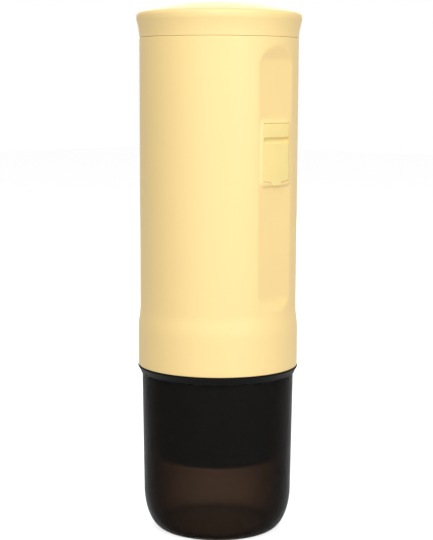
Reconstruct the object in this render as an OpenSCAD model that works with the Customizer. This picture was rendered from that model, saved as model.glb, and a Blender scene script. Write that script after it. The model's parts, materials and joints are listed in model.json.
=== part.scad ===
// Portable electric espresso maker, stood on its cup.
// Millimetres. The origin is the middle of the cup's bottom, +Z is up, the power button faces -Y
// and the charging port faces +Y.

/* [Cup] */
// Height of the cup, from its bottom to its rim
cup_h = 70.4; // [62:0.1:80]
// How far the cup's rim lies inside the foot band
cup_step = 1.6; // [1.2:0.1:2.4]
// How much narrower the straight wall is at its foot than at the rim
cup_draft = 0.8; // [0:0.1:2]
// Width of the rounded bottom corner
cup_corner_w = 8.3; // [4:0.1:12]
// Height of the rounded bottom corner
cup_corner_h = 17.9; // [8:0.1:24]
// Wall of the cup
cup_wall = 2; // [1.4:0.1:2.4]
// Thickness of the cup's bottom
cup_floor = 3; // [2:0.1:5]

/* [Base ring] */
// Wall of the ring outside the cup's rim
ring_lip = 1.6; // [1.2:0.1:2.4]
// Thickness of the ring over the cup's rim
ring_roof = 1; // [0.8:0.1:2]
// How far the ring hangs down over the cup
ring_skirt = 2.2; // [1.6:0.1:4]
// Wall of the spigot that holds the ring in the body
spigot_wall = 2.1; // [1.6:0.1:2.6]
// Wall of the collar that the cup slides onto
collar_wall = 1.8; // [1.4:0.1:2.2]
// Length of that collar
collar_h = 8.7; // [7:0.1:12]
// Thickness of the O-ring on the collar
o_ring_t = 1.2; // [1:0.1:1.4]

/* [Body shell] */
// Outer radius of the foot band, which sets the width of the whole part
band_r = 34.1; // [31:0.1:38]
// Height of the foot band's straight part
band_h = 16; // [10:0.5:22]
// Height over which the band flows into the body
flare_h = 9.5; // [5:0.5:12]
// Rounding of the band's lower edge
band_edge = 0.4; // [0.2:0.1:1]
// How far the band stands out of the body above it
band_step = 0.8; // [0.2:0.1:1.2]
// How much wider the body is at its top
body_taper = 0.2; // [0:0.1:0.6]
// Wall of the body
shell_wall = 1.9; // [1.5:0.1:2.2]
// Depth of the flat recess on the back
recess_depth = 1.5; // [1:0.1:2]
// Width of the recess's flat floor
recess_w = 19.6; // [16:0.1:22]
// Length of the slope at each end of the recess
recess_ramp = 5.7; // [3:0.1:8]
// From the body's lower edge to the recess
recess_foot = 25.3; // [18:0.1:32]
// From the recess to the body's upper edge
recess_head = 4; // [3.6:0.1:10]

/* [Charging port] */
// Width of the port's flap
flap_w = 14.9; // [13:0.1:17]
// Thickness of the flap and of its tab
flap_t = 2; // [1.6:0.1:2.4]
// From the hinge line to the flap's lower edge
flap_h = 17.9; // [15:0.1:22]
// From the hinge line to the tab's upper edge
tab_h = 6.5; // [5:0.1:9]
// Hinge line above the middle of the socket
hinge_up = 7.2; // [6:0.1:9]
// Radius of the rolled hinge edge
hinge_r = 0.7; // [0.5:0.05:0.9]
// Side width of the raised surround
bezel_side = 1.6; // [1.2:0.1:3]
// Upper and lower width of the raised surround
bezel_end = 1.6; // [1.2:0.1:3]
// Corner radius of the surround
bezel_corner = 2; // [0.5:0.1:3]
// How far the surround stands out of the recess
bezel_raise = 1; // [0.6:0.1:1.4]
// Wall behind the flap
port_wall = 2.2; // [1.6:0.1:2.6]
// Width of the flap's pull lip
pull_w = 5.6; // [4:0.1:8]
// Width of the socket's metal shell
usb_w = 8.94; // [8:0.02:10]
// Height of the socket's metal shell
usb_h = 3.26; // [3:0.02:4]
// Length of the socket
usb_len = 7.3; // [6:0.1:9]
// Metal of the socket
usb_wall = 0.3; // [0.2:0.05:0.4]

/* [Power button] */
// Radius of the button
button_r = 6.4; // [5:0.1:7.5]
// Travel of the button
button_travel = 0.8; // [0.4:0.1:1]
// How far the button stands out of the body
button_proud = 0.6; // [0.2:0.1:1]
// Width of the light ring round the button
light_w = 1.3; // [1:0.1:2]
// Width of the switch's housing
switch_w = 6; // [4:0.1:8]
// Height of the switch's housing
switch_h = 4.5; // [4:0.1:5.5]

/* [Lid] */
// Gap at the seam under the lid
seam = 0.4; // [0.3:0.1:0.8]
// Height of the lid's flare, from the seam to its widest line
lid_flare_h = 7.2; // [5:0.1:9]
// How much wider the lid is than the body
lid_flare = 1.25; // [0.6:0.05:2]
// Height of the lid's upright edge
lid_edge_h = 1.6; // [0.8:0.1:3]
// Rounding of the lid's upper edge
lid_round = 1.4; // [0.8:0.1:2.4]
// Rise of the domed top
dome_rise = 4.4; // [3.6:0.1:7]
// Wall of the lid
lid_wall = 2; // [1.6:0.1:2.2]
// Wall of the lid's skirt at its lower edge
skirt_wall = 1.3; // [1:0.1:1.5]
// Thickness of the lid's gasket
gasket_t = 1.2; // [0.8:0.1:1.6]
// Rise of the lid's thread in one turn
lid_lead = 12; // [11:0.5:15]

/* [Water tank] */
// Height of the steel tank
tank_h = 34; // [28:0.5:46]
// Steel of the tank
tank_wall = 0.8; // [0.5:0.1:1]
// Corner radius of the tank's bottom
tank_corner = 3; // [1.5:0.1:5]
// Wall of the tank's neck
neck_wall = 1.2; // [1:0.1:1.5]
// Neck's height above its flange
neck_h = 6.9; // [6.5:0.1:8]
// Thickness of the flange
flange_t = 1.5; // [1.2:0.1:2.5]
// Thickness of the seal under the flange
tank_seal_t = 1; // [0.6:0.1:1.6]
// Thickness of the heater plate
heater_t = 3.5; // [3:0.1:5]
// Thickness of the insulating pad
pad_t = 1.2; // [0.8:0.1:2]
// Radius of the heater plate
heater_r = 24; // [21:0.5:25.5]

/* [Battery] */
// Length of a cell
cell_h = 65; // [58:0.5:72]
// From the cells to the body's bore
cell_margin = 1.6; // [1.3:0.1:2]
// How deep the tray and the cap hold the cells
cell_grip = 3.6; // [2:0.1:6]
// Plate thickness of the tray and the cap
deck_t = 2.2; // [1.6:0.1:3]
// Radius of the posts between tray and cap
post_r = 3.2; // [2.6:0.1:3.6]

/* [Control board] */
// Thickness of the board
board_t = 1.6; // [1:0.1:2]
// Height of the bosses under the board
boss_h = 4.2; // [3:0.1:6]
// Height of the space above the board
bay_h = 6.1; // [5.6:0.1:9]
// Thickness of the heat shield
shield_t = 1.5; // [1:0.1:2.5]

/* [Pump] */
// Radius of the pump, between the cells
pump_r = 10.8; // [9.8:0.1:11.6]
// Radius of the plunger
plunger_r = 4.5; // [3.6:0.1:4.8]
// Length of the plunger
plunger_h = 20; // [14:0.5:22]
// Wall of the pump's sleeve
sleeve_wall = 0.7; // [0.5:0.1:0.9]
// Radius of the hose nipples
barb_r = 2.4; // [2:0.1:2.8]
// Length of the hose nipples
barb_h = 6; // [5:0.1:8]
// Wall of the hoses
hose_wall = 1.5; // [1:0.1:1.7]
// Height of the rubber mounts
mount_h = 7; // [5:0.1:9]
// Turns of each plunger spring
spring_turns = 5; // [4:1:6]
// Wire radius of the plunger springs
spring_wire_r = 0.4; // [0.3:0.05:0.45]

/* [Brew head] */
// Depth of the socket that takes the portafilter
socket_h = 8.1; // [7.8:0.1:10]
// Wall of the socket
socket_wall = 2.6; // [1.8:0.1:2.8]
// Thickness of the head's plate
head_t = 4; // [3.5:0.1:6]
// Thickness of the brew gasket
brew_gasket_t = 1.2; // [0.8:0.1:1.6]
// Thickness of the shower screen
screen_t = 0.6; // [0.4:0.1:0.8]

/* [Portafilter] */
// Depth of the basket
basket_h = 23; // [16:0.5:28]
// Steel of the basket
basket_wall = 0.6; // [0.4:0.1:0.8]
// Wall of the portafilter's neck
pf_neck_wall = 2.9; // [2.4:0.1:3.2]
// Height of the portafilter's grip
grip_h = 39; // [32:0.5:50]
// How much narrower the grip is at its foot
grip_taper = 1.3; // [0:0.1:2]
// Wall of the portafilter
pf_wall = 2.2; // [1.6:0.1:2.4]
// Bore radius of the spout
spout_r = 3.2; // [2.5:0.1:4]
// Rise of the portafilter's thread in one turn
pf_lead = 13; // [12.5:0.5:16]

/* [Fits] */
// Close clearance between pieces that are fitted together
fit = 0.2; // [0.1:0.05:0.3]
// Running clearance between pieces that turn or slide past each other
run = 0.3; // [0.2:0.05:0.4]
// Clearance of the plunger in its sleeve
plunger_fit = 0.1; // [0.05:0.01:0.15]
// Clearance round a screw's shank
screw_fit = 0.1; // [0.05:0.01:0.2]

/* [Hidden] */
$fn = 72;

cream = [0.98, 0.88, 0.6];
cream_soft = [0.97, 0.87, 0.6];
smoke = [0.22, 0.18, 0.16, 0.6];
black = [0.09, 0.09, 0.1];
rubber_black = [0.13, 0.13, 0.13];
steel = [0.75, 0.76, 0.77];
copper = [0.78, 0.45, 0.25];
brass = [0.8, 0.65, 0.35];
board_green = [0.1, 0.35, 0.22];
wrap_blue = [0.25, 0.5, 0.7];
clear_soft = [0.85, 0.86, 0.84];
white = [0.94, 0.94, 0.92];
wire_red = [0.75, 0.1, 0.1];

// How far joined shapes sink into each other, and how far a cut runs past a face
sink = 0.3;
over = 1;

// Small sizes that several pieces share
lug_count = 3;
lug_span = 44;
steps = 8;
contact_t = 0.3;
contact_r = 5;
shank_r = 1.1;
screw_head_r = 2.2;
screw_head_h = 1.5;
wire_r = 0.8;
lead_hole_r = wire_r + run;

// Foot, from the cup up
cup_rim_r = band_r - cup_step;
cup_low_r = cup_rim_r - cup_draft;
function cup_out_r(z) = cup_rim_r - cup_draft * (cup_h - z) / (cup_h - cup_corner_h);
roof_z = cup_h + run;
shell_z0 = roof_z + ring_roof;
lip_in_r = cup_rim_r + fit;
lip_out_r = lip_in_r + ring_lip;
collar_z0 = roof_z - collar_h;
collar_out_r = cup_out_r(collar_z0) - cup_wall - fit;
collar_in_r = collar_out_r - collar_wall;
o_ring_out_r = collar_out_r + fit / 2;
o_ring_up = 2.8;
o_ring_z = collar_z0 + o_ring_up;

// Body radii
body_r = band_r - band_step;
bore_r = body_r - shell_wall;
body_top_r = body_r + body_taper;
body_mid_r = body_r + body_taper / 2;

// Recess and charging port, as distances from the axis along +Y
recess_y = body_mid_r - recess_depth;
recess_back_y = recess_y - shell_wall;
bezel_y = recess_y + bezel_raise;
hinge_y = bezel_y - flap_t / 2;
pocket_y = bezel_y - flap_t - fit / 2;
port_back_y = pocket_y - port_wall;
usb_mouth_y = pocket_y - fit;
pocket_w = flap_w + 2 * fit;
bezel_w = pocket_w + 2 * bezel_side;
usb_hole_gap = 0.3;
usb_back = 1;
pin_floor = 0.5;
hinge_neck = hinge_r - fit;

// Power button, as distances from the axis along -Y
button_face = body_mid_r + button_proud;
light_sink = 0.2;
light_face = body_mid_r - light_sink;
light_in_r = button_r + run;
light_out_r = light_in_r + light_w;
light_seat_d = 1.5;
light_seat = bore_r - light_seat_d;
seat_wall = 1;
light_flange_t = 1.4;
light_flange_w = 1.5;
light_flange_r = light_out_r + light_flange_w;
light_back = light_seat - light_flange_t;
button_flange_t = 0.8;
button_flange_r = light_out_r - 2 * fit;
button_back = light_back - fit - button_flange_t;
stem_out = 2;
switch_face = button_back - stem_out;
switch_len = 4;
stem_r = 1.5;
stem_in = 0.9;
front_flat = button_back - button_travel - run;

// Brew head and portafilter radii
spigot_out_r = bore_r - fit;
spigot_in_r = spigot_out_r - spigot_wall;
socket_out_r = spigot_in_r - fit;
socket_r = socket_out_r - socket_wall;
pf_lug_d = 2;
pf_lug_r = socket_r - run;
pf_neck_r = pf_lug_r - pf_lug_d;
pf_bore_r = pf_neck_r - pf_neck_wall;
basket_r = pf_bore_r - run;
screen_r = basket_r - basket_wall - fit;
head_r = bore_r - run;
head_lug_r = pf_neck_r + run;
grip_gap = 0.9;
grip_r = collar_in_r - grip_gap;
grip_foot_r = grip_r - grip_taper;
chamber_r = grip_foot_r - pf_wall;
rim_step = 0.6;
basket_rim_r = pf_neck_r - rim_step;
pf_lug_h = 1.8;

// Brew head heights
socket_z0 = shell_z0 + fit;
head_z = socket_z0 + socket_h;
head_top = head_z + head_t;
rim_t = 0.8;
pf_top = head_z - brew_gasket_t - rim_t;
shoulder_drop = 1.9;
shoulder_z = socket_z0 - shoulder_drop;
grip_z0 = shoulder_z - grip_h;
pf_floor_t = 3;
pf_floor_z = grip_z0 + pf_floor_t;
spout_wall = 2;
spout_out = 3;
spout_bore_r = spout_r + spout_wall;
pf_lug_drop = 4.3;
pf_lug_z = head_z - pf_lug_drop;
head_lug_z = pf_lug_z - pf_lug_h - run;
screen_seat_h = 0.8;
cavity_r = 14;
cavity_h = 1;

// Battery, pump and board: the stack on the brew head
tray_floor_z = head_top + deck_t;
cell_z0 = tray_floor_z + contact_t;
cell_z1 = cell_z0 + cell_h;
tray_top = cell_z0 + cell_grip;
cap_z0 = cell_z1 - cell_grip;
cap_roof_z = cell_z1 + contact_t;
cap_top = cap_roof_z + deck_t;
board_z = cap_top + boss_h;
board_top = board_z + board_t;
shield_z = board_top + bay_h;
shield_top = shield_z + shield_t;
deck_r = bore_r - run;
pump_gap = 0.6;
cell_r = (bore_r - cell_margin - pump_gap - pump_r) / 2;
cell_ring_r = bore_r - cell_margin - cell_r;
pocket_r = cell_r + fit;
post_gap = 3;
post_ring_r = pump_r + post_gap + post_r;
cell_angles = [30, 150, 270];
post_angles = [90, 210, 330];
stop_span = 16;
stop_slack = 1.5;
stop_h = 3;
stop_d = 1.8;
pilot_r = shank_r + screw_fit / 2;
drill_r = shank_r + screw_fit;
pilot_depth = 10;
screw_short = 1;

// Parts on the board: their places and sizes
coil_at = [11, 11];
coil_size = [6, 6, 3.4];
driver_at = [8, 2];
driver_size = [4, 4, 1.2];
plug_at = [20, 2];
plug_size = [5, 7, 2.6];
lamp_x = 7.5;
lamp_in = 2.9;
lamp_size = [2, 1.4, 1.1];
processor_y = -12;
processor_size = [6, 6, 1.1];
can_at = [18, 12];
can_r = 2.4;
can_h = 5;

// Pump
sleeve_in_r = plunger_r + plunger_fit;
sleeve_out_r = sleeve_in_r + sleeve_wall;
end_wall = 0.7;
end_r = sleeve_out_r + end_wall;
end_h = 4;
yoke_wall = 1;
washer_t = 1.5;
bobbin_in_r = sleeve_out_r + fit;
bobbin_wall = 0.8;
bobbin_out_r = bobbin_in_r + bobbin_wall;
bobbin_flange_t = 1.2;
bobbin_flange_r = pump_r - yoke_wall - 2 * fit;
mount_out_r = pump_r - yoke_wall - fit;
guide_in_r = mount_out_r + fit / 2;
guide_out_r = pump_r + fit / 2;
ledge_t = 2;
ledge_gap = 1.5;
hose_in_r = barb_r + screw_fit;
hose_out_r = hose_in_r + hose_wall;
hose_gap = 0.6;
hose_clear = 1;
hose_way_r = hose_out_r + hose_gap;
nipple_gap = 1;
pump_z0 = head_top + 2 * barb_h + nipple_gap;
pump_drop = 3;
pump_z1 = cap_z0 - pump_drop;
sleeve_z0 = pump_z0 + end_h;
sleeve_z1 = pump_z1 - end_h;
yoke_z0 = pump_z0 + mount_h;
yoke_z1 = pump_z1 - mount_h;
bobbin_z0 = yoke_z0 + washer_t + fit;
bobbin_z1 = yoke_z1 - washer_t - fit;
plunger_mid = (sleeve_z0 + sleeve_z1) / 2;
plunger_z0 = plunger_mid - plunger_h / 2;
plunger_z1 = plunger_mid + plunger_h / 2;
spring_h = plunger_z0 - sleeve_z0;
spring_gap = 0.5;
spring_r = sleeve_in_r - spring_wire_r - spring_gap;
lead_angle = 330;
lead_out = 1.6;
lead_ring_r = pump_r + lead_out;
lead_pitch = 2;
lead_bar_w = 2 * lead_pitch + 2.6;
water_r = 1.2;

// Tank and heater
pad_z = shield_top + screw_head_h + run;
heater_z = pad_z + pad_t;
tank_z0 = heater_z + heater_t;
tank_z1 = tank_z0 + tank_h;
tank_floor_t = 1;
tank_r = port_back_y - 2 * fit;
tank_in_r = tank_r - tank_wall;
board_margin = 0.5;
board_r = tank_r - board_margin;
outlet_r = 3;
nut_r = 6;
nut_gap = 1;
heater_bore_r = nut_r + nut_gap;
pad_step = 4.5;
pad_bore_r = heater_bore_r + pad_step;
sensor_r = 1.2;
sensor_out = 2.3;
sensor_y = heater_bore_r + sensor_out;
thermistor_len = 5;
fuse_len = 7;
heater_lead_x = 8;
heater_lead_y = -5;
nipple_h = 9;
nipple_z = heater_z - nipple_h;
flange_z = tank_z1;
flange_top = flange_z + flange_t;
flange_r = bore_r - run;
collar_skirt_in = tank_r + fit;
collar_skirt_wall = 1;
collar_skirt_out = collar_skirt_in + collar_skirt_wall;
collar_skirt_h = 8;
lip_r = collar_skirt_out + run;
lip_t = 2;
lip_z0 = flange_z - tank_seal_t - lip_t;
hook_h = 1.5;
hook_d = 0.7;
hook_r = lip_r + hook_d;
hook_span = 20;
neck_r = tank_in_r + neck_wall;
neck_lug_d = 1.5;
neck_lug_r = neck_r + neck_lug_d;
neck_top = flange_top + neck_h;
neck_lug_h = 1.6;
neck_lug_drop = 1.8;
neck_lug_z = neck_top - neck_lug_drop;
shell_over = 0.7;
shell_z1 = flange_top + shell_over;

// Lid
lid_z0 = shell_z1 + seam;
lid_r = body_top_r + lid_flare;
lid_wide_z = lid_z0 + lid_flare_h;
lid_edge_z = lid_wide_z + lid_edge_h;
dome_edge_r = lid_r - lid_round;
dome_edge_z = lid_edge_z + lid_round;
dome_r = (dome_edge_r * dome_edge_r + dome_rise * dome_rise) / (2 * dome_rise);
lid_top = dome_edge_z + dome_rise;
skirt_in_r = body_top_r - skirt_wall;
function dome_z(r) = lid_top - dome_r + sqrt(dome_r * dome_r - r * r);
insert_out_r = skirt_in_r - fit;
insert_in_r = neck_lug_r + run;
insert_lug_r = neck_r + run;
insert_up = 0.4;
insert_z0 = lid_z0 + insert_up;
insert_roof_z = neck_top + gasket_t;
insert_roof_t = 1.2;
insert_lug_z = neck_lug_z - neck_lug_h - run;
weld_post_r = 3;
flare_power = 1.5;
gasket_in = 1.2;

// Port heights
port_z = board_top + usb_h / 2;
hinge_z = port_z + hinge_up;
tab_pin_z = hinge_z + hinge_r + tab_h / 2;
flap_z0 = hinge_z - flap_h;
tab_z1 = hinge_z + tab_h;
pocket_z0 = flap_z0 - fit;
pocket_z1 = tab_z1 + fit;
bezel_z0 = pocket_z0 - bezel_end;
bezel_z1 = pocket_z1 + bezel_end;
recess_z0 = shell_z0 + recess_foot;
recess_z1 = shell_z1 - recess_head;
recess_end = recess_w / 2 + recess_ramp;
button_z = max(board_top + switch_h / 2, cap_roof_z + light_flange_r + run);

// A ring between two radii, standing on z
module ring(r_in, r_out, z, h) {
    translate([0, 0, z])
        rotate_extrude()
            translate([r_in, 0])
                square([r_out - r_in, h]);
}

// A part of such a ring, centred on an angle
module ring_part(r_in, r_out, z, h, angle, span) {
    translate([0, 0, z])
        rotate([0, 0, angle - span / 2])
            rotate_extrude(angle = span)
                translate([r_in, 0])
                    square([r_out - r_in, h]);
}

module rod(r, z0, z1) {
    translate([0, 0, z0])
        cylinder(r = r, h = z1 - z0);
}

// Copies on a circle of radius r
module at_angles(r, angles) {
    for (a = angles)
        rotate([0, 0, a])
            translate([r, 0, 0])
                children();
}

// An outline drawn in X and Z, run from y0 to y1
module along_y(y0, y1) {
    translate([0, y1, 0])
        rotate([90, 0, 0])
            linear_extrude(height = y1 - y0)
                children();
}

// The same, measured from the axis towards the front
module to_front(d0, d1) {
    along_y(-d1, -d0)
        children();
}

// An outline drawn in Y and Z, run across the part by a width
module across_x(w) {
    translate([-w / 2, 0, 0])
        rotate([90, 0, 90])
            linear_extrude(height = w)
                children();
}

module rounded_rect(w, z0, z1, r) {
    translate([-w / 2 + r, z0])
        square([w - 2 * r, z1 - z0]);
    translate([-w / 2, z0 + r])
        square([w, z1 - z0 - 2 * r]);
    for (x = [-1, 1], z = [z0 + r, z1 - r])
        translate([x * (w / 2 - r), z])
            circle(r = r);
}

// What is cut off the decks to leave room behind the button
module front_cut(z0, z1) {
    translate([-bore_r, -front_flat - bore_r, z0 - over])
        cube([2 * bore_r, bore_r, z1 - z0 + 2 * over]);
}

// Thread lugs that climb with the thread's lead
module lugs(r_in, r_out, z, h, lead, turn = 0) {
    mid_r = (r_in + r_out) / 2;
    climb = atan(lead / (2 * PI * mid_r));
    for (i = [0:lug_count - 1])
        rotate([0, 0, turn + i * 360 / lug_count])
            translate([0, 0, z])
                rotate([climb, 0, 0])
                    ring_part(r_in, r_out, -h / 2, h, 0, lug_span);
}

// Pan-head screw: the head sits on z and the shank runs down
module screw_down(z, shank_len) {
    slot_w = 0.7;
    slot_d = 0.6;
    difference() {
        union() {
            rod(screw_head_r, z, z + screw_head_h);
            rod(shank_r, z - shank_len, z);
        }
        translate([-screw_head_r, -slot_w / 2, z + screw_head_h - slot_d])
            cube([2 * screw_head_r, slot_w, slot_d + over]);
    }
}

// One open helical tube between two flat seats
module coil_spring(coil_r, wire, turns, z, h) {
    curl_rings = 8;
    sides = 6;
    rise = h - 2 * wire;
    count = turns * curl_rings;
    points = [
        for (i = [0:count])
            let (a = 360 * i / curl_rings, mid_z = z + wire + rise * i / count)
                for (s = [0:sides - 1])
                    let (b = 360 * s / sides, r = coil_r + wire * cos(b))
                        [r * cos(a), r * sin(a), mid_z + wire * sin(b)]
    ];
    walls = [
        for (i = [0:count - 1], s = [0:sides - 1])
            let (
                here = i * sides + s,
                beside = i * sides + (s + 1) % sides,
                above = here + sides,
                across = beside + sides
            )
                each [[here, above, beside], [beside, above, across]]
    ];
    first = [for (s = [1:sides - 2]) [0, s, s + 1]];
    last_ring = count * sides;
    last = [for (s = [1:sides - 2]) [last_ring, last_ring + s + 1, last_ring + s]];
    echo("least gap between curls", rise / turns - 2 * wire);
    polyhedron(points = points, faces = concat(walls, first, last));
}

// Rings of small holes: ring k has 6 k of them
module hole_field(rings, pitch, r, z0, z1) {
    rod(r, z0, z1);
    for (k = [1:rings], i = [0:6 * k - 1])
        rotate([0, 0, i * 60 / k])
            translate([k * pitch, 0, 0])
                rod(r, z0, z1);
}

module lid_cap() {
    outer_flare = [for (i = [0:steps])
        let (t = i / steps)
            [body_top_r + lid_flare * pow(t, flare_power), lid_z0 + lid_flare_h * t]];
    outer_round = [for (i = [0:steps])
        let (a = 90 * i / steps)
            [dome_edge_r + lid_round * cos(a), lid_edge_z + lid_round * sin(a)]];
    outer_dome = [for (i = [1:steps])
        let (r = dome_edge_r * (1 - i / steps))
            [r, dome_z(r)]];
    inner_dome = [for (i = [0:steps])
        let (r = skirt_in_r * i / steps)
            [r, dome_z(r) - lid_wall]];
    color(cream) {
        rotate_extrude()
            polygon(concat(outer_flare, outer_round, outer_dome, inner_dome,
                [[skirt_in_r, lid_z0]]));
        rod(weld_post_r, insert_roof_z + insert_roof_t, lid_top - lid_wall / 2);
    }
}

module lid_insert() {
    color(white) {
        ring(insert_in_r, insert_out_r, insert_z0, insert_roof_z - insert_z0);
        rod(insert_out_r, insert_roof_z, insert_roof_z + insert_roof_t);
        lugs(insert_lug_r, insert_in_r + run, insert_lug_z, neck_lug_h, lid_lead);
    }
}

module lid_gasket() {
    color(clear_soft)
        ring(tank_in_r - gasket_in, neck_r + run, neck_top, gasket_t);
}

module shell_wall_outline() {
    flare_z0 = shell_z0 + band_h;
    flare = [for (i = [0:steps])
        let (t = i / steps)
            [band_r + (body_r - band_r) * (1 - cos(180 * t)) / 2, flare_z0 + flare_h * t]];
    polygon(concat(
        [[bore_r, shell_z0], [band_r - band_edge, shell_z0], [band_r, shell_z0 + band_edge]],
        flare,
        [[body_top_r, shell_z1], [bore_r, shell_z1]]));
}

// Half of the recess's sloped round end, pointing down
module recess_half_end(reach) {
    rotate([-90, 0, 0])
        rotate_extrude(angle = 180)
            polygon([[0, 0], [recess_w / 2, 0],
                [recess_w / 2 + reach * recess_ramp / recess_depth, reach], [0, reach]]);
}

module recess_cut() {
    reach = recess_depth + 1.5;
    spread = recess_w / 2 + reach * recess_ramp / recess_depth;
    low = recess_z0 + recess_end;
    high = recess_z1 - recess_end;
    translate([0, recess_y, low])
        recess_half_end(reach);
    translate([0, recess_y, high])
        mirror([0, 0, 1])
            recess_half_end(reach);
    translate([0, 0, low])
        linear_extrude(height = high - low)
            polygon([[-recess_w / 2, recess_y], [recess_w / 2, recess_y],
                [spread, recess_y + reach], [-spread, recess_y + reach]]);
}

// Flat-backed thickening inside the shell, from y outward
module inner_pad(y, z0, z1) {
    intersection() {
        rod(bore_r + sink, z0, z1);
        translate([-bore_r, y, z0])
            cube([2 * bore_r, bore_r, z1 - z0]);
    }
}

module body_shell() {
    pad_over = 1.5;
    color(cream)
        difference() {
            union() {
                difference() {
                    rotate_extrude()
                        shell_wall_outline();
                    recess_cut();
                }
                ring(lip_r, bore_r + sink, lip_z0, lip_t);
                inner_pad(recess_back_y, recess_z0 - pad_over, lip_z0 + lip_t);
                inner_pad(port_back_y, bezel_z0 - pad_over, bezel_z1 + pad_over);
                along_y(recess_y - sink, bezel_y)
                    rounded_rect(bezel_w, bezel_z0, bezel_z1, bezel_corner);
                intersection() {
                    rod(bore_r + sink, button_z - bore_r, button_z + bore_r);
                    to_front(light_seat, bore_r + over)
                        translate([0, button_z])
                            circle(r = light_flange_r + seat_wall);
                }
                for (a = post_angles)
                    ring_part(bore_r - stop_d, bore_r + sink, head_top, stop_h, a, stop_span);
            }
            along_y(pocket_y, bezel_y + over)
                translate([-pocket_w / 2, pocket_z0])
                    square([pocket_w, pocket_z1 - pocket_z0]);
            along_y(hinge_y, bezel_y + over)
                translate([-pull_w / 2 - fit, bezel_z0 - over])
                    square([pull_w + 2 * fit, bezel_end + 2 * over]);
            along_y(port_back_y - over, pocket_y + over)
                rounded_rect(usb_w + 2 * usb_hole_gap, port_z - usb_h / 2 - usb_hole_gap,
                    port_z + usb_h / 2 + usb_hole_gap, usb_h / 2);
            along_y(port_back_y + pin_floor, pocket_y + over)
                translate([0, tab_pin_z])
                    circle(r = stem_r + fit / 2);
            to_front(light_seat - over, button_face + over)
                translate([0, button_z])
                    circle(r = light_out_r + fit);
        }
}

module port_flap() {
    half = flap_t / 2;
    slope = hinge_r + half - hinge_neck;
    color(cream_soft)
        translate([0, hinge_y, hinge_z]) {
            across_x(flap_w)
                union() {
                    polygon([[-half, -flap_h], [half, -flap_h], [half, -slope],
                        [hinge_neck, -hinge_r], [hinge_neck, 0], [-hinge_neck, 0],
                        [-hinge_neck, -hinge_r], [-half, -slope]]);
                    circle(r = hinge_r);
                }
            across_x(pull_w)
                translate([fit, -flap_h - bezel_end])
                    square([half - fit, bezel_end + over]);
        }
}

module port_flap_tab() {
    half = flap_t / 2;
    low = hinge_r + fit;
    color(cream_soft) {
        translate([0, hinge_y, hinge_z])
            across_x(flap_w)
                polygon([[-half, low], [hinge_neck, low], [half, low + half - hinge_neck],
                    [half, tab_h], [-half, tab_h]]);
        along_y(port_back_y + pin_floor + fit, hinge_y)
            translate([0, tab_pin_z])
                circle(r = stem_r);
    }
}

module usb_socket() {
    r = usb_h / 2;
    side = 0.04;
    color(steel)
        difference() {
            along_y(usb_mouth_y - usb_len, usb_mouth_y)
                rounded_rect(usb_w, port_z - r, port_z + r, r - side / 2);
            along_y(usb_mouth_y - usb_len + usb_back, usb_mouth_y + over)
                rounded_rect(usb_w - 2 * usb_wall, port_z - r + usb_wall, port_z + r - usb_wall,
                    r - usb_wall - side / 2);
        }
}

module usb_tongue() {
    w = usb_w - 2.2;
    t = 0.7;
    behind = 0.9;
    color(black)
        along_y(usb_mouth_y - usb_len + usb_back, usb_mouth_y - behind)
            translate([-w / 2, port_z - t / 2])
                square([w, t]);
}

module power_button() {
    color(cream) {
        to_front(button_back + button_flange_t, button_face)
            translate([0, button_z])
                circle(r = button_r);
        to_front(button_back, button_back + button_flange_t)
            translate([0, button_z])
                circle(r = button_flange_r);
    }
}

module button_light_ring() {
    color(white)
        difference() {
            union() {
                to_front(light_back, light_face)
                    translate([0, button_z])
                        circle(r = light_out_r);
                to_front(light_back, light_seat)
                    translate([0, button_z])
                        circle(r = light_flange_r);
            }
            to_front(light_back - over, light_face + over)
                translate([0, button_z])
                    circle(r = light_in_r);
        }
}

module tact_switch() {
    color(black)
        difference() {
            to_front(switch_face - switch_len, switch_face)
                translate([-switch_w / 2, board_top])
                    square([switch_w, button_z + switch_h / 2 - board_top]);
            to_front(switch_face - stem_in - button_travel - run, switch_face + over)
                translate([0, button_z])
                    circle(r = stem_r + run);
        }
}

module switch_stem() {
    color(white)
        to_front(switch_face - stem_in, button_back)
            translate([0, button_z])
                circle(r = stem_r);
}

module tank_collar() {
    color(black) {
        rotate_extrude()
            polygon([[tank_in_r, flange_z], [tank_in_r, neck_top], [neck_r, neck_top],
                [neck_r, flange_top], [flange_r, flange_top], [flange_r, flange_z],
                [collar_skirt_out, flange_z], [collar_skirt_out, flange_z - collar_skirt_h],
                [collar_skirt_in, flange_z - collar_skirt_h], [collar_skirt_in, flange_z]]);
        lugs(neck_r - run, neck_lug_r, neck_lug_z, neck_lug_h, lid_lead);
        for (a = [45:90:315])
            ring_part(collar_skirt_out - sink, hook_r, lip_z0 - hook_h - fit, hook_h, a, hook_span);
    }
}

module tank_seal() {
    color(clear_soft)
        ring(lip_r + fit, flange_r - fit, lip_z0 + lip_t, tank_seal_t);
}

// Round bottom corner from the floor to the wall
function corner_arc(wall_r, floor_z, r, turn) = [for (i = [0:steps])
    let (a = turn > 0 ? 90 * i / steps : 90 - 90 * i / steps)
        [wall_r - r + r * sin(a), floor_z + r - r * cos(a)]];

module water_tank() {
    hole_r = outlet_r + fit;
    color(steel)
        rotate_extrude()
            polygon(concat(
                [[hole_r, tank_z0]],
                corner_arc(tank_r, tank_z0, tank_corner, 1),
                [[tank_r, tank_z1], [tank_in_r, tank_z1]],
                corner_arc(tank_in_r, tank_z0 + tank_floor_t, tank_corner - tank_wall, -1),
                [[hole_r, tank_z0 + tank_floor_t]]));
}

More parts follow.
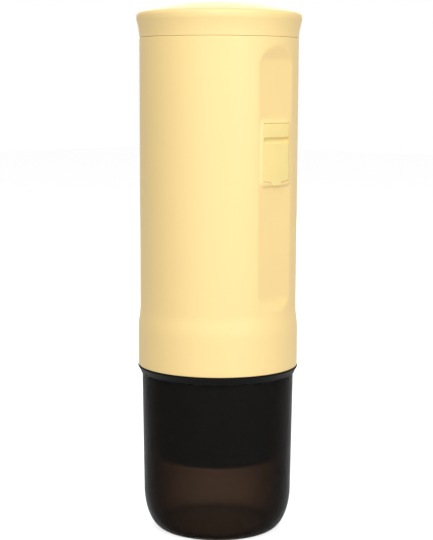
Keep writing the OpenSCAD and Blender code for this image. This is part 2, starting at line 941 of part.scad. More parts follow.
module tank_strainer() {
    z = tank_z0 + tank_floor_t;
    h = 4;
    wall = 0.6;
    in_r = nut_r + 2 * fit;
    out_r = in_r + wall;
    hole_pitch = 2.2;
    hole_r = 0.6;
    color(steel)
        difference() {
            union() {
                ring(in_r, out_r, z, h);
                rod(out_r, z + h - wall, z + h);
            }
            hole_field(2, hole_pitch, hole_r, z + h - over, z + h + over);
        }
}

module tank_outlet() {
    z = tank_z0 + tank_floor_t;
    head_h = 1.2;
    step_z = heater_z + 0.5;
    color(brass)
        difference() {
            union() {
                rod(nut_r, z, z + head_h);
                rod(outlet_r, step_z, z);
                rod(barb_r, nipple_z, step_z);
            }
            rod(water_r, nipple_z - over, z + head_h + over);
        }
}

module outlet_nut() {
    h = 2.6;
    color(brass)
        difference() {
            translate([0, 0, tank_z0 - h])
                cylinder(r = nut_r, h = h, $fn = 6);
            rod(outlet_r + screw_fit, tank_z0 - h - over, tank_z0 + over);
        }
}

module heater_plate() {
    color(steel)
        ring(heater_bore_r, heater_r, heater_z, heater_t);
}

module heater_pad() {
    color(clear_soft)
        ring(pad_bore_r, heater_r, pad_z, pad_t);
}

module heater_sensor(y, len) {
    across_x(len)
        translate([y, heater_z - sensor_r])
            circle(r = sensor_r);
}

module thermistor() {
    color(black)
        heater_sensor(sensor_y, thermistor_len);
}

module thermal_fuse() {
    color(white)
        heater_sensor(-sensor_y, fuse_len);
}

// Where the heater's two wires rise
module heater_lead_spots() {
    for (side = [-1, 1])
        translate([side * heater_lead_x, heater_lead_y, 0])
            children();
}

module pump_lead_spots() {
    rotate([0, 0, lead_angle])
        for (y = [-lead_pitch, lead_pitch])
            translate([lead_ring_r, y, 0])
                children();
}

module cell_lead_spots() {
    at_angles(cell_ring_r, [cell_angles[0], cell_angles[2]])
        children();
}

module heat_shield() {
    color(clear_soft)
        difference() {
            rod(board_r, shield_z, shield_top);
            front_cut(shield_z, shield_top);
            rod(hose_way_r, shield_z - over, shield_top + over);
            at_angles(post_ring_r, post_angles)
                rod(drill_r, shield_z - over, shield_top + over);
            heater_lead_spots()
                rod(lead_hole_r, shield_z - over, shield_top + over);
        }
}

module shield_spacers() {
    color(white)
        at_angles(post_ring_r, post_angles)
            ring(drill_r, screw_head_r + 2 * fit, board_top, bay_h);
}

module control_board() {
    color(board_green)
        difference() {
            rod(board_r, board_z, board_top);
            front_cut(board_z, board_top);
            rod(hose_way_r, board_z - over, board_top + over);
            at_angles(post_ring_r, post_angles)
                rod(drill_r, board_z - over, board_top + over);
        }
}

// A block on the board, from its place and its size
module chip(place, size) {
    translate([place[0] - size[0] / 2, place[1] - size[1] / 2, board_top])
        cube(size);
}

module board_parts() {
    color(black) {
        for (side = [-1, 1]) {
            chip([side * coil_at[0], coil_at[1]], coil_size);
            chip([side * driver_at[0], driver_at[1]], driver_size);
            chip([side * plug_at[0], plug_at[1]], plug_size);
            chip([side * lamp_x, lamp_in - front_flat], lamp_size);
            translate([side * can_at[0], can_at[1], 0])
                rod(can_r, board_top, board_top + can_h);
        }
        chip([0, processor_y], processor_size);
    }
}

module lead_wires() {
    color(wire_red) {
        heater_lead_spots()
            rod(wire_r, board_top, heater_z);
        pump_lead_spots()
            rod(wire_r, bobbin_z1, board_z);
        cell_lead_spots()
            rod(wire_r, cap_roof_z, board_z);
    }
}

module stack_screws() {
    color(steel)
        at_angles(post_ring_r, post_angles)
            screw_down(shield_top, shield_top - cap_z0 + pilot_depth - screw_short);
}

module cell_cap() {
    color(white)
        difference() {
            union() {
                rod(deck_r, cap_z0, cap_top);
                at_angles(post_ring_r, post_angles)
                    rod(post_r, cap_top - sink, board_z);
                rod(guide_out_r, pump_z1 - end_h, cap_z0 + sink);
            }
            translate([-deck_r, port_back_y - run, cap_z0 - over])
                cube([2 * deck_r, deck_r, cap_top - cap_z0 + 2 * over]);
            front_cut(cap_z0, cap_top);
            at_angles(cell_ring_r, cell_angles)
                rod(pocket_r, cap_z0 - over, cap_roof_z);
            rod(guide_in_r, pump_z1 - end_h - over, pump_z1);
            rod(hose_way_r, pump_z1 - over, cap_top + over);
            at_angles(post_ring_r, post_angles)
                rod(drill_r, cap_z0 - over, board_z + over);
            pump_lead_spots()
                rod(lead_hole_r, cap_z0 - over, cap_top + over);
            cell_lead_spots()
                rod(lead_hole_r, cap_z0 - over, cap_top + over);
        }
}

module cell_contacts() {
    color(steel)
        at_angles(cell_ring_r, cell_angles) {
            rod(contact_r, tray_floor_z, cell_z0);
            rod(contact_r, cell_z1, cap_roof_z);
        }
}

module battery_cell(i) {
    color(wrap_blue)
        at_angles(cell_ring_r, [cell_angles[i]])
            rod(cell_r, cell_z0, cell_z1);
}

module battery_cell_1() {
    battery_cell(0);
}

module battery_cell_2() {
    battery_cell(1);
}

module battery_cell_3() {
    battery_cell(2);
}

module cell_tray() {
    color(white)
        difference() {
            union() {
                rod(deck_r, head_top, tray_top);
                at_angles(post_ring_r, post_angles)
                    rod(post_r, tray_top - sink, cap_z0);
                rod(guide_out_r, tray_top - sink, pump_z0 + end_h);
            }
            at_angles(cell_ring_r, cell_angles)
                rod(pocket_r, tray_floor_z, tray_top + over);
            rod(guide_in_r, pump_z0, pump_z0 + end_h + over);
            rod(end_r + ledge_gap, pump_z0 - ledge_t - over, pump_z0 + over);
            rod(guide_in_r, head_top - over, pump_z0 - ledge_t);
            for (a = post_angles)
                ring_part(bore_r - stop_d - run, bore_r + over, head_top - over, stop_h + run + over,
                    a, stop_span + 2 * stop_slack);
            at_angles(post_ring_r, post_angles) {
                rod(pilot_r, head_top - over, head_top + pilot_depth + over);
                rod(pilot_r, cap_z0 - pilot_depth, cap_z0 + over);
            }
        }
}

module pump_yoke() {
    color(steel)
        difference() {
            rod(pump_r, yoke_z0, yoke_z1);
            rod(pump_r - yoke_wall, yoke_z0 + washer_t, yoke_z1 - washer_t);
            rod(bobbin_in_r, yoke_z0 - over, yoke_z1 + over);
            rotate([0, 0, lead_angle])
                translate([pump_r - yoke_wall - over, -lead_bar_w / 2 - run,
                        bobbin_z1 - bobbin_flange_t - fit])
                    cube([yoke_wall + 2 * over, lead_bar_w + 2 * run, bobbin_flange_t + 2 * fit]);
        }
}

module pump_bobbin() {
    bar_end = lead_ring_r + wire_r + run;
    color(black) {
        ring(bobbin_in_r, bobbin_out_r, bobbin_z0, bobbin_z1 - bobbin_z0);
        ring(bobbin_in_r, bobbin_flange_r, bobbin_z0, bobbin_flange_t);
        ring(bobbin_in_r, bobbin_flange_r, bobbin_z1 - bobbin_flange_t, bobbin_flange_t);
        rotate([0, 0, lead_angle])
            translate([bobbin_flange_r - over, -lead_bar_w / 2, bobbin_z1 - bobbin_flange_t])
                cube([bar_end - bobbin_flange_r + over, lead_bar_w, bobbin_flange_t]);
    }
}

module pump_coil() {
    z0 = bobbin_z0 + bobbin_flange_t;
    z1 = bobbin_z1 - bobbin_flange_t;
    color(copper)
        ring(bobbin_out_r, bobbin_flange_r - fit, z0, z1 - z0);
}

module pump_sleeve() {
    color(brass)
        ring(sleeve_in_r, sleeve_out_r, sleeve_z0, sleeve_z1 - sleeve_z0);
}

module pump_plunger() {
    color(steel)
        difference() {
            rod(plunger_r, plunger_z0, plunger_z1);
            rod(water_r, plunger_z0 - over, plunger_z1 + over);
        }
}

module pump_spring_upper() {
    color(steel)
        coil_spring(spring_r, spring_wire_r, spring_turns, plunger_z1, spring_h);
}

module pump_spring_lower() {
    color(steel)
        coil_spring(spring_r, spring_wire_r, spring_turns, sleeve_z0, spring_h);
}

module pump_inlet() {
    color(white)
        difference() {
            union() {
                rod(end_r, sleeve_z1, pump_z1);
                rod(barb_r, pump_z1, pump_z1 + barb_h);
            }
            rod(water_r, sleeve_z1 - over, pump_z1 + barb_h + over);
        }
}

module pump_outlet() {
    color(white)
        difference() {
            union() {
                rod(end_r, pump_z0, sleeve_z0);
                rod(barb_r, pump_z0 - barb_h, pump_z0);
            }
            rod(water_r, pump_z0 - barb_h - over, sleeve_z0 + over);
        }
}

module pump_mounts() {
    color(rubber_black) {
        ring(end_r + fit / 2, mount_out_r, pump_z0, mount_h);
        ring(end_r + fit / 2, mount_out_r, pump_z1 - mount_h, mount_h);
    }
}

module suction_hose() {
    z0 = pump_z1 + hose_clear;
    z1 = heater_z - sensor_r * 2 - screw_fit;
    color(clear_soft)
        ring(hose_in_r, hose_out_r, z0, z1 - z0);
}

module pressure_hose() {
    color(clear_soft)
        ring(hose_in_r, hose_out_r, head_top + hose_clear, pump_z0 - head_top - 2 * hose_clear);
}

module brew_head() {
    color(black)
        difference() {
            union() {
                ring(socket_r, socket_out_r, socket_z0, socket_h + sink);
                rod(head_r, head_z, head_top);
                rod(barb_r, head_top - sink, head_top + barb_h);
                lugs(head_lug_r, socket_r + run, head_lug_z, pf_lug_h, pf_lead);
            }
            rod(screen_r + fit, head_z - over, head_z + screen_seat_h);
            rod(cavity_r, head_z, head_z + screen_seat_h + cavity_h);
            rod(water_r, head_z, head_top + barb_h + over);
            at_angles(post_ring_r, post_angles) {
                rod(drill_r, head_z, head_top + over);
                rod(screw_head_r + fit, head_z, head_z + screen_seat_h + screw_head_h + fit);
            }
        }
}

module head_screws() {
    color(steel)
        at_angles(post_ring_r, post_angles)
            mirror([0, 0, 1])
                screw_down(-(head_z + screen_seat_h + screw_head_h + fit), pilot_depth + screw_short);
}

module shower_screen() {
    rings = 4;
    hole_pitch = 3.4;
    hole_r = 0.6;
    color(steel)
        difference() {
            rod(screen_r, head_z, head_z + screen_t);
            hole_field(rings, hole_pitch, hole_r, head_z - over, head_z + screen_t + over);
        }
}

module brew_gasket() {
    color(rubber_black)
        ring(screen_r + 3 * fit, basket_rim_r + fit, pf_top + rim_t, brew_gasket_t);
}

module filter_basket() {
    z0 = pf_top - basket_h;
    in_r = basket_r - basket_wall;
    rings = 4;
    hole_pitch = 3.6;
    hole_r = 0.5;
    color(steel)
        difference() {
            union() {
                ring(in_r, basket_r, z0, basket_h + rim_t);
                rod(basket_r, z0, z0 + basket_wall);
                ring(in_r, basket_rim_r, pf_top, rim_t);
            }
            hole_field(rings, hole_pitch, hole_r, z0 - over, z0 + basket_wall + over);
        }
}

module portafilter() {
    foot_round = 2;
    shoulder_edge = 1;
    neck_foot = shoulder_z - 4;
    spread = chamber_r - pf_bore_r;
    foot = [for (i = [0:steps])
        let (a = 90 * i / steps)
            [grip_foot_r - foot_round + foot_round * sin(a), grip_z0 + foot_round * (1 - cos(a))]];
    color(black) {
        rotate_extrude()
            polygon(concat(
                [[spout_bore_r, grip_z0]],
                foot,
                [[grip_r, shoulder_z - shoulder_edge], [grip_r - shoulder_edge, shoulder_z],
                    [pf_neck_r, shoulder_z], [pf_neck_r, pf_top],
                    [pf_bore_r, pf_top], [pf_bore_r, neck_foot],
                    [chamber_r, neck_foot - spread], [chamber_r, pf_floor_z],
                    [spout_bore_r, pf_floor_z]]));
        lugs(pf_neck_r - run, pf_lug_r, pf_lug_z, pf_lug_h, pf_lead);
    }
}

module spout() {
    tube_r = spout_bore_r - fit / 2;
    tip_z = grip_z0 - spout_out;
    flange_w = 2;
    flange_h = 1.2;
    color(black)
        difference() {
            union() {
                rod(tube_r, tip_z, pf_floor_z);
                rod(tube_r + flange_w, pf_floor_z, pf_floor_z + flange_h);
            }
            rod(spout_r, tip_z - over, pf_floor_z + flange_h + over);
        }
}

module base_ring() {
    groove_h = o_ring_t + fit;
    groove_r = o_ring_out_r - o_ring_t - screw_fit / 2;
    groove_z = o_ring_z - groove_h / 2;
    edge_w = 0.3;
    skirt_z = roof_z - ring_skirt;
    color(black)
        rotate_extrude()
            polygon(
                [[collar_in_r, collar_z0], [collar_out_r - edge_w, collar_z0],
                    [collar_out_r, collar_z0 + edge_w], [collar_out_r, groove_z],
                    [groove_r, groove_z], [groove_r, groove_z + groove_h],
                    [collar_out_r, groove_z + groove_h], [collar_out_r, roof_z],
                    [lip_in_r, roof_z], [lip_in_r, skirt_z], [lip_in_r + edge_w, skirt_z],
                    [lip_out_r, roof_z], [lip_out_r, shell_z0],
                    [spigot_out_r, shell_z0], [spigot_out_r, head_z],
                    [spigot_in_r, head_z], [spigot_in_r, shell_z0], [collar_in_r, shell_z0]]);
}

module cup_o_ring() {
    color(rubber_black)
        translate([0, 0, o_ring_z])
            rotate_extrude()
                translate([o_ring_out_r - o_ring_t / 2, 0])
                    circle(d = o_ring_t);
}

// Elliptic bottom corner of the cup, outside or inside
function cup_corner(w, h, top_r, turn) = [for (i = [0:steps])
    let (a = turn > 0 ? 90 * i / steps : 90 - 90 * i / steps)
        [top_r - w + w * sin(a), cup_corner_h - h * cos(a)]];

module cup() {
    rim_in_r = cup_rim_r - cup_wall;
    color(smoke)
        rotate_extrude()
            polygon(concat(
                [[0, 0]],
                cup_corner(cup_corner_w, cup_corner_h, cup_low_r, 1),
                [[cup_rim_r, cup_h], [rim_in_r, cup_h]],
                cup_corner(cup_corner_w - cup_wall, cup_corner_h - cup_floor,
                    cup_low_r - cup_wall, -1),
                [[0, cup_floor]]));
}

lid_cap();
lid_insert();
lid_gasket();
body_shell();
port_flap();
port_flap_tab();
usb_socket();
usb_tongue();
power_button();
button_light_ring();
tact_switch();
switch_stem();
tank_collar();
tank_seal();
water_tank();
tank_strainer();
tank_outlet();
outlet_nut();
heater_plate();
heater_pad();
thermistor();
thermal_fuse();
heat_shield();
shield_spacers();
control_board();
board_parts();
lead_wires();
stack_screws();
cell_cap();
cell_contacts();
battery_cell_1();
battery_cell_2();
battery_cell_3();
cell_tray();
pump_yoke();
pump_bobbin();
pump_coil();
pump_sleeve();
pump_plunger();
pump_spring_upper();
pump_spring_lower();
pump_inlet();
pump_outlet();
pump_mounts();
suction_hose();
pressure_hose();
brew_head();
head_screws();
shower_screen();
brew_gasket();
filter_basket();
portafilter();
spout();
base_ring();
cup_o_ring();
cup();
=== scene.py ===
import json
import math

import bmesh
import bpy
from mathutils import Matrix, Vector


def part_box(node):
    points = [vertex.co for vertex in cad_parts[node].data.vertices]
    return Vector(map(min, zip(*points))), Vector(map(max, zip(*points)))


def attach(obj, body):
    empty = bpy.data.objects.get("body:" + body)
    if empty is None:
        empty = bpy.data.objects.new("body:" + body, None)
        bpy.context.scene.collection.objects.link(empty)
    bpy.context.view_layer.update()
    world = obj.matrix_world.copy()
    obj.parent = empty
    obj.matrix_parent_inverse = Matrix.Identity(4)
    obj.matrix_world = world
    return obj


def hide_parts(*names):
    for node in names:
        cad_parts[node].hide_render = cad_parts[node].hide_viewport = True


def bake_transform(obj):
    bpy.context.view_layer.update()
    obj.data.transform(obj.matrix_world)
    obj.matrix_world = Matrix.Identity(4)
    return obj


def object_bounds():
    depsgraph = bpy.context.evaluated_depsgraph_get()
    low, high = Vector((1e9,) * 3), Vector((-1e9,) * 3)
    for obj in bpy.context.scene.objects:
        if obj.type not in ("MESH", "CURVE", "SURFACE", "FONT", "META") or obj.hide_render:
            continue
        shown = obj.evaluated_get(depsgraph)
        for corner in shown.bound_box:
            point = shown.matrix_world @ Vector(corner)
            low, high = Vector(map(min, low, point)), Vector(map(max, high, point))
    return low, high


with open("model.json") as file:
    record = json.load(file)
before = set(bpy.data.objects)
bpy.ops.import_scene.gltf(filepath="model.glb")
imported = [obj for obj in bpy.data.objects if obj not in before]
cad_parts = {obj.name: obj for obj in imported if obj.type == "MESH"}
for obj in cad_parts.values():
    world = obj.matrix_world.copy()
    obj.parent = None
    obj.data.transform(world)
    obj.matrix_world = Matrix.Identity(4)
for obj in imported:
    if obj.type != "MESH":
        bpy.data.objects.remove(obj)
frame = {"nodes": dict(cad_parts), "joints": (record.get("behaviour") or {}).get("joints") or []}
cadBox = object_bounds()              # the solids' own box, before anything is added
nodes = frame["nodes"]
scene = bpy.context.scene
mm = 0.001


# Camera, as the photograph was taken

shot = {
    "frameWidth": 433, "frameHeight": 540,      # pixels
    "focalPixels": 1442.55,
    "distance": 613.4 * mm,                     # level distance from the body's axis
    "height": 189.3 * mm,                       # above the surface that the part stands on
    "azimuth": 133.7, "pitch": 7.187, "roll": 0.246,
    "axisPixel": 218.13,                        # where the body's axis crosses the frame
    "sensor": 36.0,
}


def placeCamera():
    data = bpy.data.cameras.new("camera")
    data.sensor_width = shot["sensor"]
    data.lens = shot["sensor"] * shot["focalPixels"] / shot["frameHeight"]
    data.shift_x = (shot["frameWidth"] / 2 - shot["axisPixel"]) / shot["frameHeight"]
    data.dof.use_dof = False
    camera = bpy.data.objects.new("camera", data)
    scene.collection.objects.link(camera)
    turn = math.radians(shot["azimuth"])
    spot = Vector((math.sin(turn), -math.cos(turn), 0)) * shot["distance"]
    spot.z = shot["height"]
    tilt = Matrix.Rotation(math.radians(90 - shot["pitch"]), 4, "X")
    roll = Matrix.Rotation(math.radians(shot["roll"]), 4, "Z")
    camera.matrix_world = Matrix.Translation(spot) @ Matrix.Rotation(turn, 4, "Z") @ tilt @ roll
    scene.camera = camera


placeCamera()
print("camera placed")


# Shader sums: a socket that joins in Python expressions

class Wire:
    def __init__(self, finish, socket):
        self.finish = finish
        self.socket = socket

    def join(self, operation, first, second):
        return self.finish.add("ShaderNodeMath", {"operation": operation}, {0: first, 1: second})

    def __add__(self, other):
        return self.join("ADD", self, other)

    def __radd__(self, other):
        return self.join("ADD", other, self)

    def __sub__(self, other):
        return self.join("SUBTRACT", self, other)

    def __rsub__(self, other):
        return self.join("SUBTRACT", other, self)

    def __mul__(self, other):
        return self.join("MULTIPLY", self, other)

    def __rmul__(self, other):
        return self.join("MULTIPLY", other, self)

    def __or__(self, other):                    # the larger of the two
        return self.join("MAXIMUM", self, other)

    def __ror__(self, other):
        return self.join("MAXIMUM", other, self)


def shade(colour, factor):
    return tuple(min(1, c * factor) for c in colour) + (1,)


class Finish:
    def __init__(self, name, sockets=None, owner=None):
        self.owner = owner or bpy.data.materials.new(name)
        self.owner.use_nodes = True
        self.tree = self.owner.node_tree
        self.shader = self.tree.nodes.get("Principled BSDF")
        self.end = self.tree.nodes.get("Material Output") or self.tree.nodes.get("World Output")
        self.feed(self.shader, sockets or {})

    def feed(self, node, sockets):
        for key, value in sockets.items():
            if isinstance(value, Wire):
                self.tree.links.new(value.socket, node.inputs[key])
            else:
                node.inputs[key].default_value = value

    def add(self, kind, settings=None, sockets=None, output=0):
        node = self.tree.nodes.new(kind)
        for key, value in (settings or {}).items():
            setattr(node, key, value)
        self.feed(node, sockets or {})
        return Wire(self, node.outputs[output])

    def place(self, stretch=(1, 1, 1)):         # the piece's own coordinates, in metres
        here = self.add("ShaderNodeTexCoord", output="Object")
        return self.add("ShaderNodeMapping", {}, {"Vector": here, "Scale": stretch})

    def noise(self, size, detail, stretch=(1, 1, 1)):
        sockets = {"Vector": self.place(stretch), "Scale": 1 / size, "Detail": detail}
        return self.add("ShaderNodeTexNoise", {}, sockets, "Fac")

    def blend(self, share, first, second):      # a Mix node's colour sockets go by number
        return self.add("ShaderNodeMix", {"data_type": "RGBA"}, {0: share, 6: first, 7: second}, 2)

    def tone(self, share, look):                # the look's colour, from its darker to its lighter side
        return self.blend(share, shade(look["colour"], look["dark"]), shade(look["colour"], look["light"]))

    def matte(self, share, look):               # roughness, spread to both sides of the look's own
        return look["roughness"] - look["spread"] / 2 + look["spread"] * share

    def dress(self, sockets):
        self.feed(self.shader, sockets)

    def emboss(self, height, look):
        sockets = {"Height": height, "Distance": look["relief"], "Strength": look["reliefShare"]}
        self.dress({"Normal": self.add("ShaderNodeBump", {}, sockets)})


# Finishes with a clouded colour under a fine grain

custard = {                       # lid, body and button
    "colour": (0.873, 0.644, 0.27), "dark": 0.975, "light": 1.025, "cloud": 38 * mm, "cloudDetail": 3,
    "grain": 0.32 * mm, "grainDetail": 3, "relief": 0.012 * mm, "reliefShare": 0.5,
    "roughness": 0.54, "spread": 0.1,
    "sockets": {"IOR": 1.46, "Specular IOR Level": 0.9},
}
silicone = {                      # the charging port's cover
    "colour": (0.876, 0.696, 0.283), "dark": 0.96, "light": 1.03, "cloud": 9 * mm, "cloudDetail": 2,
    "grain": 0.5 * mm, "grainDetail": 4, "relief": 0.01 * mm, "reliefShare": 0.5,
    "roughness": 0.48, "spread": 0.12,
    "sockets": {"IOR": 1.41, "Specular IOR Level": 0.35},
}
satin = {                         # base ring, portafilter and the small black parts
    "colour": (0.0045, 0.0045, 0.0048), "dark": 0.85, "light": 1.2, "cloud": 22 * mm, "cloudDetail": 2,
    "grain": 0.25 * mm, "grainDetail": 3, "relief": 0.012 * mm, "reliefShare": 0.5,
    "roughness": 0.52, "spread": 0.12,
    "sockets": {"Specular IOR Level": 0.07},
}
moulding = {                      # white plastic inside
    "colour": (0.78, 0.78, 0.75), "dark": 0.95, "light": 1.04, "cloud": 15 * mm, "cloudDetail": 2,
    "grain": 0.3 * mm, "grainDetail": 3, "relief": 0.008 * mm, "reliefShare": 0.4,
    "roughness": 0.45, "spread": 0.1,
    "sockets": {},
}
dusty = {                         # seals, hoses, mounts and wires
    "dark": 0.9, "light": 1.12, "cloud": 0.7 * mm, "cloudDetail": 4,
    "grain": 0.7 * mm, "grainDetail": 4, "relief": 0.015 * mm, "reliefShare": 0.4,
    "spread": 0.16,
    "sockets": {"Specular IOR Level": 0.35},
}
brushed = {                       # every metal but the winding
    "dark": 0.93, "light": 1.05, "cloud": 9 * mm, "cloudDetail": 3,
    "grain": 0.25 * mm, "grainDetail": 3, "relief": 0.006 * mm, "reliefShare": 0.5,
    "spread": 0.16,
    "sockets": {"Metallic": 1.0},
}


def grained(name, look, stretch=(1, 1, 1)):
    made = Finish(name, look["sockets"])
    cloud = made.noise(look["cloud"], look["cloudDetail"])
    grain = made.noise(look["grain"], look["grainDetail"], stretch)
    made.dress({"Base Color": made.tone(cloud, look), "Roughness": made.matte(grain, look)})
    made.emboss(grain, look)
    return made.owner


def rubber(name, colour, roughness):
    return grained(name, {**dusty, "colour": colour, "roughness": roughness})


def metal(name, colour, roughness, stretch):    # the brushing runs along the axes with small numbers
    return grained(name, {**brushed, "colour": colour, "roughness": roughness}, stretch)


# Finishes of their own kind

smoked = {
    "colour": (0.95, 0.93, 0.91), "dark": 0.95, "light": 1.05,
    "haze": 14 * mm, "hazeDetail": 3, "stretch": (1, 1, 0.35), "roughness": 0.35, "spread": 0.06,
    "passes": (0.325, 0.198, 0.059, 1), "density": 1195,      # the wall's own tint, and its strength a metre
    "sockets": {"IOR": 1.07, "Transmission Weight": 0.992},
}


def smokedClear():
    made = Finish("smokedClear", smoked["sockets"])
    haze = made.noise(smoked["haze"], smoked["hazeDetail"], smoked["stretch"])
    made.dress({"Base Color": made.tone(haze, smoked), "Roughness": made.matte(haze, smoked)})
    sockets = {"Color": smoked["passes"], "Density": smoked["density"]}
    made.feed(made.end, {"Volume": made.add("ShaderNodeVolumeAbsorption", {}, sockets)})
    return made.owner


winding = {
    # painted shade: the colour falls to its dark share in the hollows between the turns and rises to its
    # light share on the crests
    "colour": (0.62, 0.25, 0.10), "dark": 0.45, "light": 1.1,
    "ridge": 0.35 * mm,                         # a ridge's length over 2 pi
    "waveFactor": 20,                           # the Wave node multiplies a place by this
    "roughness": 0.36, "spread": -0.12,         # smoother on the crests
    "relief": 0.1 * mm, "reliefShare": 0.6,
    "sockets": {"Metallic": 0.85},
}


def copperWinding():
    made = Finish("copperWinding", winding["sockets"])
    settings = {"wave_type": "BANDS", "bands_direction": "Z", "wave_profile": "SIN"}
    scale = 1 / (winding["waveFactor"] * winding["ridge"])
    sockets = {"Vector": made.place(), "Scale": scale, "Distortion": 0.0}
    turns = made.add("ShaderNodeTexWave", settings, sockets, "Fac")
    # painted shade in the hollows between the turns, lighter on the crests
    made.dress({"Base Color": made.tone(turns, winding), "Roughness": made.matte(turns, winding)})
    made.emboss(turns, winding)
    return made.owner


board = {
    "mask": (0.012, 0.10, 0.045, 1), "track": (0.03, 0.19, 0.085, 1),
    "patch": 6.4 * mm, "ripple": 0.12, "trackFrom": 0.07,     # shares of a patch
    "roughness": 0.43, "spread": 0.1, "relief": 0.03 * mm, "reliefShare": 0.4,
    "sockets": {"Coat Weight": 0.4, "Coat Roughness": 0.2},
}


def circuitBoard():
    made = Finish("circuitBoard", board["sockets"])
    settings = {"feature": "F1", "distance": "CHEBYCHEV"}
    sockets = {"Vector": made.place(), "Scale": 1 / board["patch"]}
    cells = made.add("ShaderNodeTexVoronoi", settings, sockets, "Distance")
    ripple = made.add("ShaderNodeMath", {"operation": "PINGPONG"}, {0: cells, 1: board["ripple"]})
    track = made.add("ShaderNodeMath", {"operation": "GREATER_THAN"}, {0: ripple, 1: board["trackFrom"]})
    made.dress({
        "Base Color": made.blend(track, board["mask"], board["track"]),
        "Roughness": made.matte(track, board),
    })
    made.emboss(track, board)
    return made.owner


wrap = {
    "shadow": (0.035, 0.16, 0.34, 1), "face": (0.05, 0.21, 0.42, 1),
    "crease": 5 * mm, "creaseDetail": 2, "stretch": (1, 1, 0.15),
    "roughness": 0.325, "spread": 0.15, "relief": 0.05 * mm, "reliefShare": 0.3,
    "sockets": {"Coat Weight": 0.5, "Coat Roughness": 0.15},
}


def cellWrap():
    made = Finish("cellWrap", wrap["sockets"])
    crease = made.noise(wrap["crease"], wrap["creaseDetail"], wrap["stretch"])
    made.dress({
        "Base Color": made.blend(crease, wrap["shadow"], wrap["face"]),
        "Roughness": made.matte(crease, wrap),
    })
    made.emboss(crease, wrap)
    return made.owner


lens = {
    "shadow": (0.86, 0.86, 0.84, 1), "face": (0.92, 0.92, 0.9, 1), "cloud": 4 * mm, "cloudDetail": 2,
    "roughness": 0.36, "spread": 0.12,
    "sockets": {"Transmission Weight": 0.12, "IOR": 1.49},
}


def milkyLens():
    made = Finish("milkyLens", lens["sockets"])
    cloud = made.noise(lens["cloud"], lens["cloudDetail"])
    made.dress({
        "Base Color": made.blend(cloud, lens["shadow"], lens["face"]),
        "Roughness": made.matte(cloud, lens),
    })
    return made.owner


finishes = {
    "custard": grained("custardPlastic", custard),
    "custardSoft": grained("custardSilicone", silicone),
    "smoked": smokedClear(),
    "satin": grained("satinBlack", satin),
    "lens": milkyLens(),
    "blackRubber": rubber("blackRubber", (0.018, 0.018, 0.018), 0.6),
    "milkyRubber": rubber("milkyRubber", (0.66, 0.66, 0.62), 0.45),
    "wireRed": rubber("wireRed", (0.45, 0.02, 0.02), 0.5),
    "white": grained("whitePlastic", moulding),
    "steel": metal("brushedSteel", (0.58, 0.58, 0.59), 0.3, (1, 1, 0.04)),
    "turnedSteel": metal("turnedSteel", (0.60, 0.60, 0.61), 0.28, (0.08, 0.08, 1)),
    "aluminium": metal("castAluminium", (0.72, 0.72, 0.73), 0.42, (1, 1, 1)),
    "brass": metal("turnedBrass", (0.70, 0.50, 0.19), 0.3, (0.1, 0.1, 1)),
    "winding": copperWinding(),
    "board": circuitBoard(),
    "wrap": cellWrap(),
}

innerFinish = {                   # the solids whose own shape is right keep it
    "white": ["lid_insert", "switch_stem", "thermal_fuse", "heat_shield", "shield_spacers", "cell_cap",
              "cell_tray", "pump_inlet", "pump_outlet"],
    "milkyRubber": ["lid_gasket", "tank_seal", "heater_pad", "suction_hose", "pressure_hose"],
    "satin": ["usb_tongue", "tact_switch", "tank_collar", "thermistor", "board_parts", "pump_bobbin",
              "brew_head", "spout"],
    "steel": ["usb_socket", "water_tank", "cell_contacts", "pump_yoke"],
    "turnedSteel": ["tank_strainer", "stack_screws", "pump_plunger", "head_screws", "shower_screen",
                    "filter_basket"],
    "aluminium": ["heater_plate"],
    "brass": ["tank_outlet", "outlet_nut", "pump_sleeve"],
    "winding": ["pump_coil"],
    "board": ["control_board"],
    "wrap": ["battery_cell_1", "battery_cell_2", "battery_cell_3"],
    "wireRed": ["lead_wires"],
    "blackRubber": ["pump_mounts", "brew_gasket", "cup_o_ring"],
}
for finishName, members in innerFinish.items():
    for member in members:
        for materialSlot in nodes[member].material_slots:
            materialSlot.material = finishes[finishName]
print("finishes: %d, on %d solids" % (len(finishes), sum(map(len, innerFinish.values()))))


# Mesh making

meshing = {
    "weld": 1e-7,                 # points closer than this, in metres, become one
    "axis": 1e-9,                 # a radius under this lies on the axis
    "sharpAngle": 38, "turns": 192,
    "cornerShare": 0.49,          # how much of a side one rounded corner may take
}
quarterTurn = [math.radians(a) for a in range(0, 91, 15)]


def newMesh(name, points, faces):
    mesh = bpy.data.meshes.new(name)
    mesh.from_pydata([tuple(p) for p in points], [], faces)
    work = bmesh.new()
    work.from_mesh(mesh)
    bmesh.ops.remove_doubles(work, verts=work.verts, dist=meshing["weld"])
    bmesh.ops.recalc_face_normals(work, faces=work.faces)
    work.to_mesh(mesh)
    work.free()
    return mesh


def newPiece(name, mesh, finish, body, slot, *replaced):
    mesh.shade_smooth()
    mesh.set_sharp_from_angle(angle=math.radians(meshing["sharpAngle"]))
    piece = bpy.data.objects.new(name, mesh)
    mesh.materials.append(finishes[finish])
    scene.collection.objects.link(piece)
    if body:
        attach(piece, body)
    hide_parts(*replaced)
    print("piece %s: %d faces" % (name, len(mesh.polygons)))
    return piece


def cutAway(mesh, cutters):       # the mesh less the cutters, with clean edges
    solid = bpy.data.objects.new("solid", mesh)
    tool = bpy.data.objects.new("tool", cutters)
    for item in (solid, tool):
        scene.collection.objects.link(item)
    step = solid.modifiers.new("cut", "BOOLEAN")
    step.operation, step.solver, step.object = "DIFFERENCE", "EXACT", tool
    bpy.context.view_layer.update()
    made = bpy.data.meshes.new_from_object(solid.evaluated_get(bpy.context.evaluated_depsgraph_get()))
    for item in (solid, tool):
        bpy.data.objects.remove(item)
    return made


